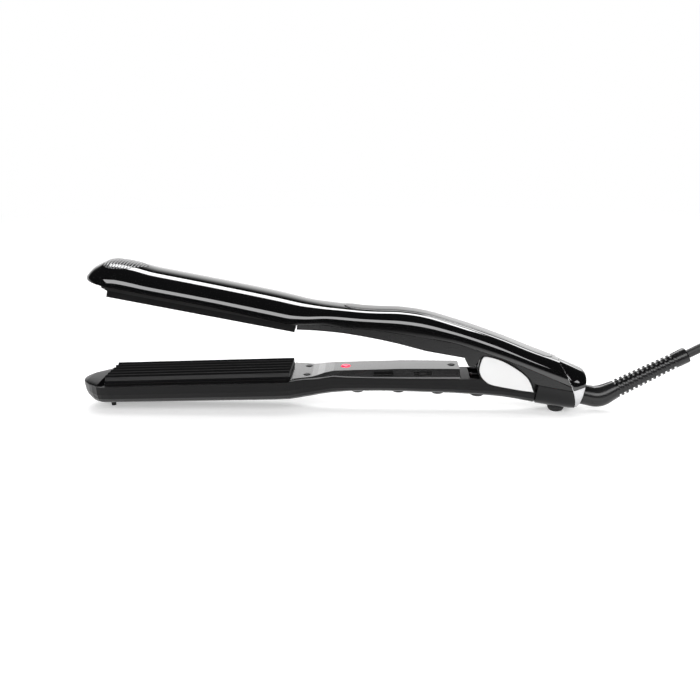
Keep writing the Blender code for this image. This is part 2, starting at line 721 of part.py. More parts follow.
def make_upper_carrier(arm):
    rings = []
    pocket = UPPER_PLATE_TOP + GAP
    for share in CARRIER_STATION_SHARES:
        x = carrier_x(share)
        side = [(UPPER_PLATE_HALF + GAP, CARRIER_LOW)]
        for z in (CARRIER_LOW, CARRIER_HIGH - FRAME_WALL, CARRIER_HIGH):
            wide = arch_half(z, UPPER_HALF(x) - COVER_WALL, UPPER_EDGE(x),
                             UPPER_CROWN(x) - COVER_WALL, ARCH_POWER)
            side.append((wide - CARRIER_INSET, z))
        ring = [(x, y, z) for y, z in side] + [(x, -y, z) for y, z in reversed(side)]
        ring += [(x, -UPPER_PLATE_HALF - GAP, pocket), (x, UPPER_PLATE_HALF + GAP, pocket)]
        rings.append(ring)
    carrier = loft("upper_carrier", rings, arm, (CHARCOAL, 0.6))
    middle = (PLATE_REAR + PLATE_FRONT) / 2
    reach = HEATER_LENGTH / 2
    low = UPPER_PLATE_TOP + GAP
    block("upper_heater", (middle - reach, -HEATER_HALF, low),
          (middle + reach, HEATER_HALF, low + HEATER_THICKNESS), arm, (IVORY, 0.6))
    pocket = block("upper_heater_pocket",
                   (middle - reach - GAP, -HEATER_HALF - GAP, low - OVERRUN),
                   (middle + reach + GAP, HEATER_HALF + GAP, low + HEATER_THICKNESS + GAP),
                   arm, SATIN)
    cut(carrier, pocket)


def rib_level(y):
    """Top of the lower plate's ribs; the middle of the plate is a valley."""
    return CREST_LEVEL - RIB_HEIGHT * (1 + math.cos(2 * math.pi * y / RIB_PITCH)) / 2


def rib_run(half, lift):
    count = 2 * int(round(RIBS * RIB_POINTS / 2))
    reach = RIBS * RIB_PITCH / 2
    points = [(-half, rib_level(-reach) + lift)] if half > reach else []
    for i in range(count + 1):
        y = reach * (2 * i / count - 1)
        points.append((y, rib_level(y) + lift))
    if half > reach:
        points.append((half, rib_level(reach) + lift))
    return points


def make_plates(upper, lower):
    for name, arm, half, lift, back in (
        ("upper_plate", upper, UPPER_PLATE_HALF, HAIR_GAP, UPPER_PLATE_TOP),
        ("lower_plate", lower, LOWER_PLATE_HALF, 0.0, LOWER_PLATE_BASE),
    ):
        run = rib_run(half, lift) + [(half, back), (-half, back)]
        rings = [[(x, y, z) for y, z in run] for x in (PLATE_FRONT, PLATE_REAR)]
        loft(name, rings, arm, (CHARCOAL, 0.35))


# Tip bumper under the nose
BUMPER_SHARE = 0.4
BUMPER_RADIUS = 0.0017
BUMPER_LOW = 0.0058
BUMPER_SEAT = 0.0020


def make_tip_bumper(arm, cover):
    x = place("nose", BUMPER_SHARE)
    seat = UPPER_EDGE(x) + BUMPER_SEAT
    rows = ((0.0, BUMPER_RADIUS / 2), (BUMPER_RADIUS / 3, BUMPER_RADIUS),
            (seat - BUMPER_LOW, BUMPER_RADIUS))
    turned_solid("tip_bumper", (x, 0.0, BUMPER_LOW), (0, 0, 1), rows, arm, (BLACK, 0.6), sides=12)
    hole = turned_solid("bumper_hole", (x, 0.0, BUMPER_LOW), (0, 0, 1),
                        ((0.0, BUMPER_RADIUS + GAP), (seat - BUMPER_LOW + GAP, BUMPER_RADIUS + GAP)),
                        arm, SATIN, sides=12)
    cut(cover, hole)


# Tail housing, its screw and the rear foot
HOUSING_SPANS = 6
TAIL_SCREW_SHARE = 0.527
TAIL_BOSS_RADIUS = 0.0036
SCREW_SHANK = 0.0011
SCREW_HEAD = 0.0020
SCREW_HEAD_HEIGHT = 0.0013
TAIL_HEAD_SINK = 0.0060
FOOT_SETBACK = 0.0112
FOOT_X = TAIL_LENGTH - FOOT_SETBACK
FOOT_RADIUS = 0.0051
FOOT_STEM_RADIUS = 0.0022


def housing_run(share, wall):
    run = []
    for j in range(ARC_STEPS + 1):
        x = TAIL_FRONT + share * (TAIL_LENGTH - TAIL_FRONT)
        for _ in range(4):
            half = UPPER_HALF(x) - SKIRT_INSET
            y, z = arch(half - wall, TAIL_SEAM_LEVEL - GAP, TAIL_BELLY(x) + wall, BELLY_POWER)[j]
            x = tail_front(z) + share * (seam(z) - tail_front(z))
        run.append((x, y, z))
    return run


def make_tail_housing(arm, frame):
    shares = [step / HOUSING_SPANS for step in range(HOUSING_SPANS + 1)]
    outers = [housing_run(share, 0.0) for share in shares]
    inners = [housing_run(share, COVER_WALL) for share in shares]
    housing = shell("tail_housing", outers, inners, arm, SATIN)
    x = place("tail", TAIL_SCREW_SHARE)
    floor = TAIL_BELLY(x)
    below = (x, 0.0, floor)
    top = WEB_LOW - GAP - floor
    boss = turned_solid("boss", below, (0, 0, 1), ((COVER_WALL / 2, TAIL_BOSS_RADIUS),
                        (top, TAIL_BOSS_RADIUS)), arm, SATIN)
    unite(housing, boss)
    head = TAIL_HEAD_SINK
    hole = turned_solid("screw_hole", below, (0, 0, 1), (
        (-OVERRUN, SCREW_HEAD + GAP), (head, SCREW_HEAD + GAP), (head, SCREW_SHANK + GAP),
        (top + OVERRUN, SCREW_SHANK + GAP)), arm, SATIN)
    cut(housing, hole)
    bore = turned_solid("web_hole", below, (0, 0, 1), (
        (top, SCREW_SHANK + GAP), (top + WEB_HIGH, SCREW_SHANK + GAP)), arm, SATIN)
    cut(frame, bore)
    turned_solid("tail_screw", below, (0, 0, 1), (
        (head - GAP - SCREW_HEAD_HEIGHT, SCREW_HEAD), (head - GAP, SCREW_HEAD),
        (head - GAP, SCREW_SHANK), (top + WEB_HIGH - WEB_LOW, SCREW_SHANK)), arm, (STEEL, 0.3, 1.0))
    floor = TAIL_BELLY(FOOT_X)
    stem = COVER_WALL + OVERRUN
    rows = [(stem, FOOT_STEM_RADIUS), (-GAP, FOOT_STEM_RADIUS), (-GAP, FOOT_RADIUS)]
    for i in range(1, 7):
        angle = i * math.pi / 12
        rows.append((-GAP - FOOT_RADIUS * math.sin(angle), FOOT_RADIUS * math.cos(angle)))
    rows[-1] = (rows[-1][0], FOOT_RADIUS / 8)
    foot = turned_solid("rear_foot", (FOOT_X, 0.0, floor), (0, 0, 1), rows, arm, (BLACK, 0.7),
                        sides=20)
    stand_on_floor(foot, UPPER_TILT)
    socket = turned_solid("foot_hole", (FOOT_X, 0.0, floor), (0, 0, 1), (
        (-OVERRUN, FOOT_STEM_RADIUS + GAP), (stem + OVERRUN, FOOT_STEM_RADIUS + GAP)), arm, SATIN)
    cut(housing, socket)


def stand_on_floor(obj, tilt):
    """Points below the floor are moved up along the arm's own height, onto the floor."""
    for vertex in obj.data.vertices:
        x, _, z = vertex.co + obj.location
        level = HINGE_HEIGHT + turned(x, z, tilt)[1]
        if level < 0:
            vertex.co.z -= level / math.cos(tilt)


# End cap with the silver band round its lower half, and the boot's bush
BAND_WALL = 0.0010
BAND_EDGE_FRONT = 0.0010
BAND_EDGE_RISE = 0.0037
BAND_EDGE_LENGTH = 0.0072
END_DROP = 0.0012
CAP_SPANS = 3
CAP_SHARES = (0.0, 0.3, 0.6, 0.85, 0.86, 1.0)
END_WALL_SHARE = 0.855
CAP_LINING = 0.0008
SOCKET_RADIUS = 0.0050
BUSH_OUTER = 0.0047
BUSH_INNER = 0.0039
BUSH_SINK = 0.0025
BUSH_LENGTH = 0.0022


def band_edge(x):
    """Height of the line where the band meets the end cap."""
    share = min(max((x - TAIL_LENGTH) / BAND_EDGE_LENGTH + 1, 0.0), 1.0)
    return BAND_EDGE_FRONT + BAND_EDGE_RISE * share


def end_face(z):
    depth = max(BAND_EDGE_FRONT - z, 0.0) / (BAND_EDGE_FRONT - SEAM_BOTTOM)
    return TAIL_LENGTH - END_DROP * depth**2


def cap_run(share, upper, wall, trim):
    """Half of the collar's outline at a share of the way from the seam to the end face."""
    run = []
    for j in range(ARC_STEPS + 1):
        x = TAIL_LENGTH - COLLAR_LENGTH
        for _ in range(5):
            crown = UPPER_CROWN(x) if upper else TAIL_BELLY(x)
            edge = band_edge(x) + (trim if upper else -trim)
            depth = crown + (-wall if upper else wall)
            power = ARCH_POWER if upper else BELLY_POWER
            y, z = arch(UPPER_HALF(x) - SKIRT_INSET / 2 - wall, edge, depth, power)[j]
            front = seam(z) + GAP
            x = front + share * (end_face(z) - front)
        run.append((x, y, z))
    return run


def make_end_cap(arm):
    outers, inners = [], []
    for share in CAP_SHARES:
        upper = cap_run(share, True, 0.0, GAP / 2)
        lower = cap_run(share, False, BAND_WALL + GAP, GAP / 2)
        outers.append(upper + lower[::-1])
        if share < END_WALL_SHARE:
            upper = cap_run(share, True, COVER_WALL, GAP / 2)
            lower = cap_run(share, False, BAND_WALL + GAP + CAP_LINING, GAP / 2)
            inners.append(upper + lower[::-1])
        else:
            ring = []
            for x, y, z in outers[-1]:
                angle = math.atan2(z - BOOT_LEVEL, y)
                ring.append((x, SOCKET_RADIUS * math.cos(angle),
                             BOOT_LEVEL + SOCKET_RADIUS * math.sin(angle)))
            inners.append(ring)
    shell("end_cap", outers, inners, arm, (BLACK, 0.08), closed=True)
    shares = [step / CAP_SPANS for step in range(CAP_SPANS + 1)]
    outers = [cap_run(share, False, 0.0, GAP / 2) for share in shares]
    inners = [cap_run(share, False, BAND_WALL, GAP / 2) for share in shares]
    shell("collar_band", outers, inners, arm, (SILVER, 0.25, 0.9))
    front = TAIL_LENGTH - BUSH_SINK
    rows = ((front, BUSH_OUTER, BUSH_INNER), (front + BUSH_LENGTH, BUSH_OUTER, BUSH_INNER))
    turned_ring("swivel_socket", (0.0, 0.0, BOOT_LEVEL), (1, 0, 0), rows, arm, (BLACK, 0.5))


# Boot: flange and neck in the bush, an elbow, and a ribbed sleeve
BOOT_SIDES = 12
FLANGE_RADIUS = 0.0046
FLANGE_DEPTH = 0.0045
FLANGE_THICKNESS = 0.0016
NECK_RADIUS = 0.0036
ELBOW_RADIUS = 0.0064
SLEEVE_RADIUS = 0.0054
RIB_START = 0.0240
BOOT_RIBS = 12
BOOT_RIB_PITCH = 0.0029
BOOT_RIB_DEPTH = 0.0009
RIB_END_RADIUS = 0.0046
BOOT_MOUTH_RADIUS = 0.0034
BOOT_BEVEL = 0.0006


def boot_rows():
    rows = [
        (-FLANGE_DEPTH, FLANGE_RADIUS), (FLANGE_THICKNESS - FLANGE_DEPTH, FLANGE_RADIUS),
        (FLANGE_THICKNESS - FLANGE_DEPTH, NECK_RADIUS), (GAP, NECK_RADIUS),
        (GAP, BOOT_ROOT_RADIUS - BOOT_BEVEL), (GAP + BOOT_BEVEL, BOOT_ROOT_RADIUS),
        (BOOT_STRAIGHT, BOOT_ROOT_RADIUS),
    ]
    bend = boot_bend_length()
    for share, radius in ((0.25, ELBOW_RADIUS), (0.5, ELBOW_RADIUS), (0.75, ELBOW_RADIUS),
                          (1.0, BOOT_ROOT_RADIUS)):
        rows.append((BOOT_STRAIGHT + share * bend, radius))
    rows.append((RIB_START - BOOT_RIB_PITCH / 2, SLEEVE_RADIUS))
    for i in range(BOOT_RIBS):
        radius = SLEEVE_RADIUS + (RIB_END_RADIUS - SLEEVE_RADIUS) * i / (BOOT_RIBS - 1)
        start = RIB_START + i * BOOT_RIB_PITCH
        middle = start + BOOT_RIB_PITCH / 2
        groove = radius - BOOT_RIB_DEPTH
        rows += [(start, groove), (start, radius), (middle, radius), (middle, groove)]
    rows += [
        (RIB_START + BOOT_RIBS * BOOT_RIB_PITCH, RIB_END_RADIUS - BOOT_RIB_DEPTH),
        (RIB_START + BOOT_RIBS * BOOT_RIB_PITCH, BOOT_COLLAR_RADIUS),
        (BOOT_LENGTH - BOOT_BEVEL, BOOT_COLLAR_RADIUS), (BOOT_LENGTH, BOOT_MOUTH_RADIUS),
    ]
    return rows


def make_boot():
    rings = []
    for s, radius in boot_rows():
        x, z, heading = boot_point(max(s, 0.0))
        x += min(s, 0.0) * math.cos(heading)
        z += min(s, 0.0) * math.sin(heading)
        ring = []
        for i in range(BOOT_SIDES):
            angle = 2 * math.pi * (i + 0.5) / BOOT_SIDES
            side = radius * math.sin(angle)
            ring.append((HINGE_X + x - side * math.sin(heading), radius * math.cos(angle),
                         HINGE_HEIGHT + z + side * math.cos(heading)))
        rings.append(ring)
    loft("cord_boot", rings, None, (BLACK, 0.5))


# Wires and cut-out inside the upper arm
WIRE_RADIUS = 0.0013
UPPER_WIRE_SHARES = (
    ("tail", 0.895, 0.0, -0.122), ("tail", 0.785, 0.0, -0.108), ("tail", 0.72, 0.0, 0.018),
    ("tail", 0.677, 0.0, 0.215), ("tail", 0.516, 0.0, 0.358), ("tail", 0.258, 0.0, 0.43),
    ("handle", 0.0, 0.0, 0.466), ("handle", 0.139, 0.0, 0.484), ("handle", 0.37, 0.0, 0.484),
    ("handle", 0.741, 0.0, 0.484), ("handle", 1.0, 0.0, 0.52), ("neck", 0.727, 0.0, 0.6165),
    ("plate", 0.048, 0.0, 0.631),
)
FUSE_FRONT = 0.0180
FUSE_LENGTH = 0.0120
FUSE_RADIUS = 0.0020


def add_wire(name, rows, height, arm):
    """Wire through rows of (zone, share along it, share of the handle's half, share of a height)."""
    points = [(place(zone, along), side * HANDLE_HALF, level * height)
              for zone, along, side, level in rows]
    wire_curve(name, smooth_open(points, 2), WIRE_RADIUS, arm, (RED, 0.5), 1)


def make_inner_wiring(arm):
    add_wire("upper_wire", UPPER_WIRE_SHARES, UPPER_HEIGHT, arm)
    start = PLATE_REAR - FUSE_FRONT
    turned_solid("thermal_fuse", (start, 0.0, CARRIER_HIGH + GAP + FUSE_RADIUS), (1, 0, 0),
                 ((0.0, FUSE_RADIUS), (FUSE_LENGTH, FUSE_RADIUS)), arm, (SILVER, 0.3, 1.0), sides=12)


# Lower cover: shell with a solid nose, board ribs and the hinge lug's two cheeks
LOWER_STATIONS = (
    ("nose", (1.0, 0.985, 0.95, 0.88, 0.78, 0.62, 0.47, 0.25)),
    ("nose", (0.12,)),
    ("plate", (0.98, 0.9, 0.5, 0.1, 0.01)),
    ("neck", (0.82, 0.55, 0.3)),
    ("handle", (1.0, 0.94, 0.84, 0.68, 0.55, 0.42, 0.28, 0.185, 0.09)),
    ("tail", (0.0, 0.15)),
)
LOWER_TAIL_SHARE = 0.15
NOSE_LIP = 0.0011
NOSE_LIP_SHARE = 0.9
REAR_SPANS = 2
BOARD_BASE = -0.0022
BOARD_THICKNESS = 0.0016
BOARD_HALF = 0.0075
BOARD_FRONT_SHARE = 0.9
BOARD_REAR_SHARE = 0.33
RIB_HALF = 0.0070
RIB_THICKNESS = 0.0015
BOARD_RIB_SHARES = (0.82, 0.42)


def lug_rear(z):
    """Rear edge of the lower arm: the lug's own slant."""
    bottom = LEAF_SHARES[0][1] * LEAF_SPAN
    top_x = LEAF_SHARES[1][0] * LEAF_SPAN
    bottom_x = LEAF_SHARES[0][0] * LEAF_SPAN
    share = min(max((z - bottom) / (LEAF_SHARES[1][1] * LEAF_SPAN - bottom), 0.0), 1.0)
    return bottom_x + share * (top_x - bottom_x)


def lower_station(x, solid):
    half, rim, belly = LOWER_HALF(x), LOWER_RIM(x), LOWER_BELLY(x)
    outer = arch(half, rim, belly, BELLY_POWER)
    if solid:
        lip = NOSE_LIP * min(2 * half / HEAD_HALF, 1.0)
        inner = arch(half * NOSE_LIP_SHARE, rim, rim + lip, BELLY_POWER)
    else:
        inner = arch(half - COVER_WALL, rim, belly + COVER_WALL, BELLY_POWER)
    return outer, inner


def make_lower_cover(arm):
    outers, inners = [], []
    for zone, shares in LOWER_STATIONS:
        for share in shares:
            x = place(zone, share)
            outer, inner = lower_station(x, zone == "nose" and share > SOLID_NOSE_SHARE)
            outers.append([(x, y, z) for y, z in outer])
            inners.append([(x, y, z) for y, z in inner])
    start = place("tail", LOWER_TAIL_SHARE)
    for step in range(1, REAR_SPANS + 1):
        share = step / REAR_SPANS
        for runs, index in ((outers, 0), (inners, 1)):
            run = []
            for j in range(ARC_STEPS + 1):
                x = start
                for _ in range(4):
                    y, z = lower_station(x, False)[index][j]
                    x = start + share * (lug_rear(z) - start)
                run.append((x, y, z))
            runs.append(run)
    cover = shell("lower_cover", outers, inners, arm, SATIN)
    for share in BOARD_RIB_SHARES:
        x = place("handle", share)
        base = LOWER_BELLY(x) + COVER_WALL / 2
        low = arch_height(RIB_HALF, LOWER_HALF(x), LOWER_RIM(x), base, BELLY_POWER)
        unite(cover, block("board_rib", (x, -RIB_HALF, low),
                           (x + RIB_THICKNESS, RIB_HALF, BOARD_BASE - GAP), arm, SATIN))
    outline = leaf_outline()
    for side in (-1, 1):
        unite(cover, side_slab("cheek", grow(outline, LUG_RIM), side * LUG_INNER,
                               side * LUG_OUTER, arm, SATIN))
        depth = LEAF_THICKNESS + GAP - LEAF_PROUD
        cut(cover, side_slab("leaf_pocket", grow(outline, -LEAF_POCKET_INSET),
                             side * (LUG_OUTER - depth), side * (LUG_OUTER + OVERRUN), arm, SATIN))
    for name, side in (("leaf_plate_near", -1), ("leaf_plate_far", 1)):
        outer = LUG_OUTER + LEAF_PROUD
        side_slab(name, grow(outline, -LEAF_INSET), side * (outer - LEAF_THICKNESS),
                  side * outer, arm, (WHITE, 0.2, 0.3))
    bore = turned_solid("lug_bore", (0.0, 0.0, 0.0), (0, 1, 0),
                        ((-PIN_HALF - GAP, PIN_RADIUS + PIN_GAP), (PIN_HALF + GAP, PIN_RADIUS + PIN_GAP)),
                        arm, SATIN)
    cut(cover, bore)
    return cover


def make_hinge_pin(arm):
    turned_solid("hinge_pin", (0.0, 0.0, 0.0), (0, 1, 0),
                 ((-PIN_HALF, PIN_RADIUS), (PIN_HALF, PIN_RADIUS)), arm, (STEEL, 0.25, 1.0))


# Lower frame: the panel on top of the handle, lapped into the cover
PANEL_STATION_SHARES = (
    ("plate", 0.0), ("neck", 0.8), ("neck", 0.5), ("neck", 0.25), ("neck", 0.05), ("handle", 0.97),
    ("handle", 0.92), ("handle", 0.85), ("handle", 0.7), ("handle", 0.55), ("handle", 0.4),
    ("handle", 0.24),
)
PANEL_LAP = 0.0020
PANEL_REAR_GAP = 0.0004
SCREW_PLACES = (("neck", 0.424, 0.414), ("neck", 0.424, -0.414), ("handle", 0.28, 0.0))
SCREW_SINK = 0.0006
SCREW_PROUD = 0.0004
SCREW_LENGTH = 0.0055


def make_lower_frame(arm):
    rings = []
    for zone, share in PANEL_STATION_SHARES:
        x = place(zone, share) + (PANEL_REAR_GAP if zone == "plate" else 0.0)
        wide = LOWER_HALF(x) - SKIRT_INSET / 2
        lap = LOWER_HALF(x) - COVER_WALL - FRAME_INSET
        top, flat = PANEL_TOP(x), PANEL_HALF(x)
        shoulder = SHOULDER(x)
        step = LOWER_RIM(x) + GAP
        run = (wide - flat, top - shoulder)
        slope = math.hypot(*run)
        across, fall = run[0] / slope, run[1] / slope
        inner_y = lap - FRAME_WALL
        line = fall * flat + across * top - FRAME_WALL
        inner_flat = (line - across * (top - FRAME_WALL)) / fall if fall > 0.2 else flat - FRAME_WALL
        inner_flat = min(inner_flat, inner_y - FRAME_WALL / 2)
        inner_shoulder = min((line - fall * inner_y) / across, step)
        low = step - PANEL_LAP
        side = [(flat, top), (wide, max(shoulder, step + GAP)), (wide, step), (lap, step), (lap, low),
                (inner_y, low), (inner_y, max(inner_shoulder, low + GAP)), (inner_flat, top - FRAME_WALL)]
        ring = [(x, y, z) for y, z in side] + [(x, -y, z) for y, z in reversed(side)]
        rings.append(ring)
    frame = loft("lower_frame", rings, arm, (PANEL, 0.4))
    for number, (zone, share, side) in enumerate(SCREW_PLACES, 1):
        x, y = place(zone, share), side * HEAD_HALF
        top = PANEL_TOP(x)
        turned_solid("frame_screw_%d" % number, (x, y, top), (0, 0, 1), (
            (-SCREW_LENGTH, SCREW_SHANK / 2), (-SCREW_LENGTH + SCREW_SHANK, SCREW_SHANK),
            (-SCREW_SINK, SCREW_SHANK), (-SCREW_SINK, SCREW_HEAD), (SCREW_PROUD / 2, SCREW_HEAD),
            (SCREW_PROUD, SCREW_HEAD - SCREW_PROUD)), arm, (STEEL, 0.3, 1.0), sides=12)
        cut(frame, turned_solid("screw_seat", (x, y, top), (0, 0, 1), (
            (-SCREW_LENGTH, SCREW_SHANK + GAP), (-SCREW_SINK - GAP, SCREW_SHANK + GAP),
            (-SCREW_SINK - GAP, SCREW_HEAD + GAP), (OVERRUN, SCREW_HEAD + GAP)), arm, SATIN,
            sides=12))
    return frame


# Lower carrier and heater
LOWER_CARRIER_BASE = -0.0015
CARRIER_LIP = 0.0006


def make_lower_carrier(arm):
    rings = []
    bed = LOWER_PLATE_BASE - GAP
    for share in CARRIER_STATION_SHARES:
        x = carrier_x(share)
        lip = bed + CARRIER_LIP
        side = []
        for z in (LOWER_CARRIER_BASE, LOWER_CARRIER_BASE + COVER_WALL, lip):
            wide = arch_half(z, LOWER_HALF(x) - COVER_WALL, LOWER_RIM(x),
                             LOWER_BELLY(x) + COVER_WALL, BELLY_POWER)
            side.append((wide - CARRIER_INSET, z))
        edge = min(LOWER_PLATE_HALF + GAP, side[-1][0] - GAP)
        side += [(edge, lip), (edge, bed)]
        ring = [(x, y, z) for y, z in side] + [(x, -y, z) for y, z in reversed(side)]
        rings.append(ring)
    carrier = loft("lower_carrier", rings, arm, (CHARCOAL, 0.6))
    middle = (PLATE_REAR + PLATE_FRONT) / 2
    reach = HEATER_LENGTH / 2
    high = LOWER_PLATE_BASE - GAP
    block("lower_heater", (middle - reach, -HEATER_HALF, high - HEATER_THICKNESS),
          (middle + reach, HEATER_HALF, high), arm, (IVORY, 0.6))
    cut(carrier, block("lower_heater_pocket",
                       (middle - reach - GAP, -HEATER_HALF - GAP, high - HEATER_THICKNESS - GAP),
                       (middle + reach + GAP, HEATER_HALF + GAP, high + OVERRUN), arm, SATIN))


# Pilot light, board and wires inside the lower arm
LED_SHARE = 0.857
LED_RADIUS = 0.0028
LED_RISE = 0.0007
LOWER_WIRE_SHARES = (
    ("plate", 0.0138, 0.0, -0.234), ("neck", 0.606, 0.0, -0.269), ("handle", 1.0, 0.0, -0.175),
    ("handle", 0.9056, 0.0, -0.082),
)
REAR_WIRE_SHARES = (
    ("handle", 0.326, 0.333, -0.105), ("handle", 0.259, 0.387, -0.246),
    ("handle", 0.167, 0.42, -0.363), ("handle", 0.093, 0.333, -0.421),
    ("handle", 0.018, 0.167, -0.48), ("tail", 0.172, 0.0, -0.515), ("tail", 0.28, 0.0, -0.515),
)


def make_electronics(arm, frame):
    x = place("handle", LED_SHARE)
    board_top = BOARD_BASE + BOARD_THICKNESS
    top = PANEL_TOP(x)
    turned_solid("led_lens", (x, 0.0, 0.0), (0, 0, 1), (
        (board_top + GAP, LED_RADIUS), (top, LED_RADIUS), (top + LED_RISE * 0.6, LED_RADIUS * 0.8),
        (top + LED_RISE, LED_RADIUS * 0.4)), arm, (RED, 0.2))
    cut(frame, turned_solid("led_hole", (x, 0.0, 0.0), (0, 0, 1), (
        (board_top, LED_RADIUS + GAP), (top + OVERRUN, LED_RADIUS + GAP)), arm, SATIN))
    block("circuit_board", (place("handle", BOARD_FRONT_SHARE), -BOARD_HALF, BOARD_BASE),
          (place("handle", BOARD_REAR_SHARE), BOARD_HALF, board_top), arm, (GREEN, 0.5))
    add_wire("lower_wire", LOWER_WIRE_SHARES, LOWER_DEPTH, arm)
    add_wire("rear_wire", REAR_WIRE_SHARES, LOWER_DEPTH, arm)


# Power button and slide switch in the near shoulder of the panel
BUTTON_SHARE = 0.651
BUTTON_HALF_LENGTH = 0.0055
BUTTON_HALF_WIDTH = 0.0012
BUTTON_PROUD = 0.0007
BUTTON_FLANGE = 0.0006
BUTTON_TRAVEL = 0.0008
SWITCH_CLEARANCE = 0.0003
SLIDE_SHARE = 0.4394
SLIDE_TRAVEL = 0.0025
KNOB_HALF_LENGTH = 0.0023
KNOB_HALF_WIDTH = 0.0012
KNOB_PROUD = 0.0013
SHOULDER_MIDDLE_SHARE = 0.55
POCKET_DEPTH = 0.0050


def shoulder_frame(x):
    """Middle of the near shoulder with its downhill and outward directions."""
    wide = LOWER_HALF(x) - SKIRT_INSET / 2
    top = Vector((x, -PANEL_HALF(x), PANEL_TOP(x)))
    low = Vector((x, -wide, SHOULDER(x)))
    down = (low - top).normalized()
    outward = Vector((0.0, down.z, -down.y))
    return top.lerp(low, SHOULDER_MIDDLE_SHARE), down, outward


def shoulder_stack(name, x, layers, arm, look, origin=None):
    """Stepped block on the shoulder: layers of (height, half-length, half-width)."""
    middle, down, outward = shoulder_frame(x)
    rings = []
    for height, length, width in layers:
        ring = []
        for a, b in ((-1, -1), (1, -1), (1, 1), (-1, 1)):
            ring.append(middle + outward * height + Vector((a * length, 0.0, 0.0)) + down * (b * width))
        rings.append(ring)
    return loft(name, rings, arm, look, smooth=False, origin=origin or (0.0, 0.0, 0.0))


def switch_block(name, x, depth, half_length, half_width, arm):
    """Switch body: a face square to the shoulder at a depth, feet on the board."""
    middle, down, outward = shoulder_frame(x)
    board_top = BOARD_BASE + BOARD_THICKNESS + GAP
    face = [middle - outward * depth + down * (side * half_width) for side in (-1, 1)]
    back = -BOARD_HALF + half_width * 3
    outline = [(face[0].y, face[0].z), (face[1].y, face[1].z), (-BOARD_HALF, board_top),
               (back, board_top)]
    rings = []
    for offset in (-half_length, half_length):
        rings.append([(x + offset, y, z) for y, z in outline])
    loft(name, rings, arm, (CHARCOAL, 0.5), smooth=False)


def make_switches(arm, frame):
    x = place("handle", BUTTON_SHARE)
    middle = shoulder_frame(x)[0]
    inner = -FRAME_WALL - GAP
    long, wide = BUTTON_HALF_LENGTH, BUTTON_HALF_WIDTH
    edge = BUTTON_PROUD / 3
    shoulder_stack("power_button", x, (
        (inner - BUTTON_FLANGE, long + 2 * GAP, wide + GAP), (inner, long + 2 * GAP, wide + GAP),
        (inner, long, wide), (BUTTON_PROUD - edge, long, wide),
        (BUTTON_PROUD, long - edge, wide - edge)), arm, (BLACK, 0.35), origin=middle)
    cut(frame, shoulder_stack("button_hole", x, (
        (-POCKET_DEPTH, long + 3 * GAP, wide + 2 * GAP), (-FRAME_WALL, long + 3 * GAP, wide + 2 * GAP),
        (-FRAME_WALL, long + GAP, wide + GAP), (OVERRUN, long + GAP, wide + GAP)), arm, SATIN))
    depth = FRAME_WALL + GAP + BUTTON_FLANGE + BUTTON_TRAVEL + SWITCH_CLEARANCE
    switch_block("button_switch", x, depth, KNOB_HALF_LENGTH, KNOB_HALF_WIDTH, arm)
    x = place("handle", SLIDE_SHARE)
    middle = shoulder_frame(x)[0]
    long, wide = KNOB_HALF_LENGTH, KNOB_HALF_WIDTH
    edge = KNOB_PROUD / 4
    base = long + SLIDE_TRAVEL + 3 * GAP
    shoulder_stack("slide_knob", x, (
        (inner - BUTTON_FLANGE, base, wide + GAP), (inner, base, wide + GAP), (inner, long, wide),
        (KNOB_PROUD - edge, long, wide), (KNOB_PROUD, long - edge, wide - edge)),
        arm, (BLACK, 0.5), origin=middle)
    slot = long + SLIDE_TRAVEL + GAP
    run = base + SLIDE_TRAVEL + GAP
    cut(frame, shoulder_stack("knob_slot", x, (
        (-POCKET_DEPTH, run, wide + 2 * GAP), (-FRAME_WALL, run, wide + 2 * GAP),
        (-FRAME_WALL, slot, wide + GAP), (OVERRUN, slot, wide + GAP)), arm, SATIN))
    depth = FRAME_WALL + GAP + BUTTON_FLANGE + SWITCH_CLEARANCE
    switch_block("slide_switch", x, depth, base, KNOB_HALF_WIDTH, arm)


# Grip pads and the front foot under the lower arm
PAD_SHARES = (0.795, 0.574, 0.359, 0.144)
PAD_HALF_LENGTH = 0.0042
PAD_HALF_WIDTH = 0.0065
PAD_DEPTH = 0.0013
PAD_SIDES = 16
PAD_RING_SHARES = (1.0, 0.75, 0.4)
FRONT_FOOT_SHARE = 0.08
FRONT_FOOT_RADIUS = 0.00145
FRONT_FOOT_SEAT = 0.0025


def make_pads(arm):
    for number, share in enumerate(PAD_SHARES, 1):
        centre = place("handle", share)
        top, bottom = [], []
        for ring_share in PAD_RING_SHARES:
            upper, lower = [], []
            for i in range(PAD_SIDES):
                angle = 2 * math.pi * i / PAD_SIDES
                x = centre + ring_share * PAD_HALF_LENGTH * math.cos(angle)
                y = ring_share * PAD_HALF_WIDTH * math.sin(angle)
                skin = arch_height(y, LOWER_HALF(x), LOWER_RIM(x), LOWER_BELLY(x), BELLY_POWER) - GAP
                depth = PAD_DEPTH * (0.2 + 0.8 * math.sqrt(1 - ring_share**2))
                upper.append((x, y, skin))
                lower.append((x, y, skin - depth))
            top.append(upper)
            bottom.append(lower)
        loft("grip_pad_%d" % number, top[::-1] + bottom, arm, (BLACK, 0.7))


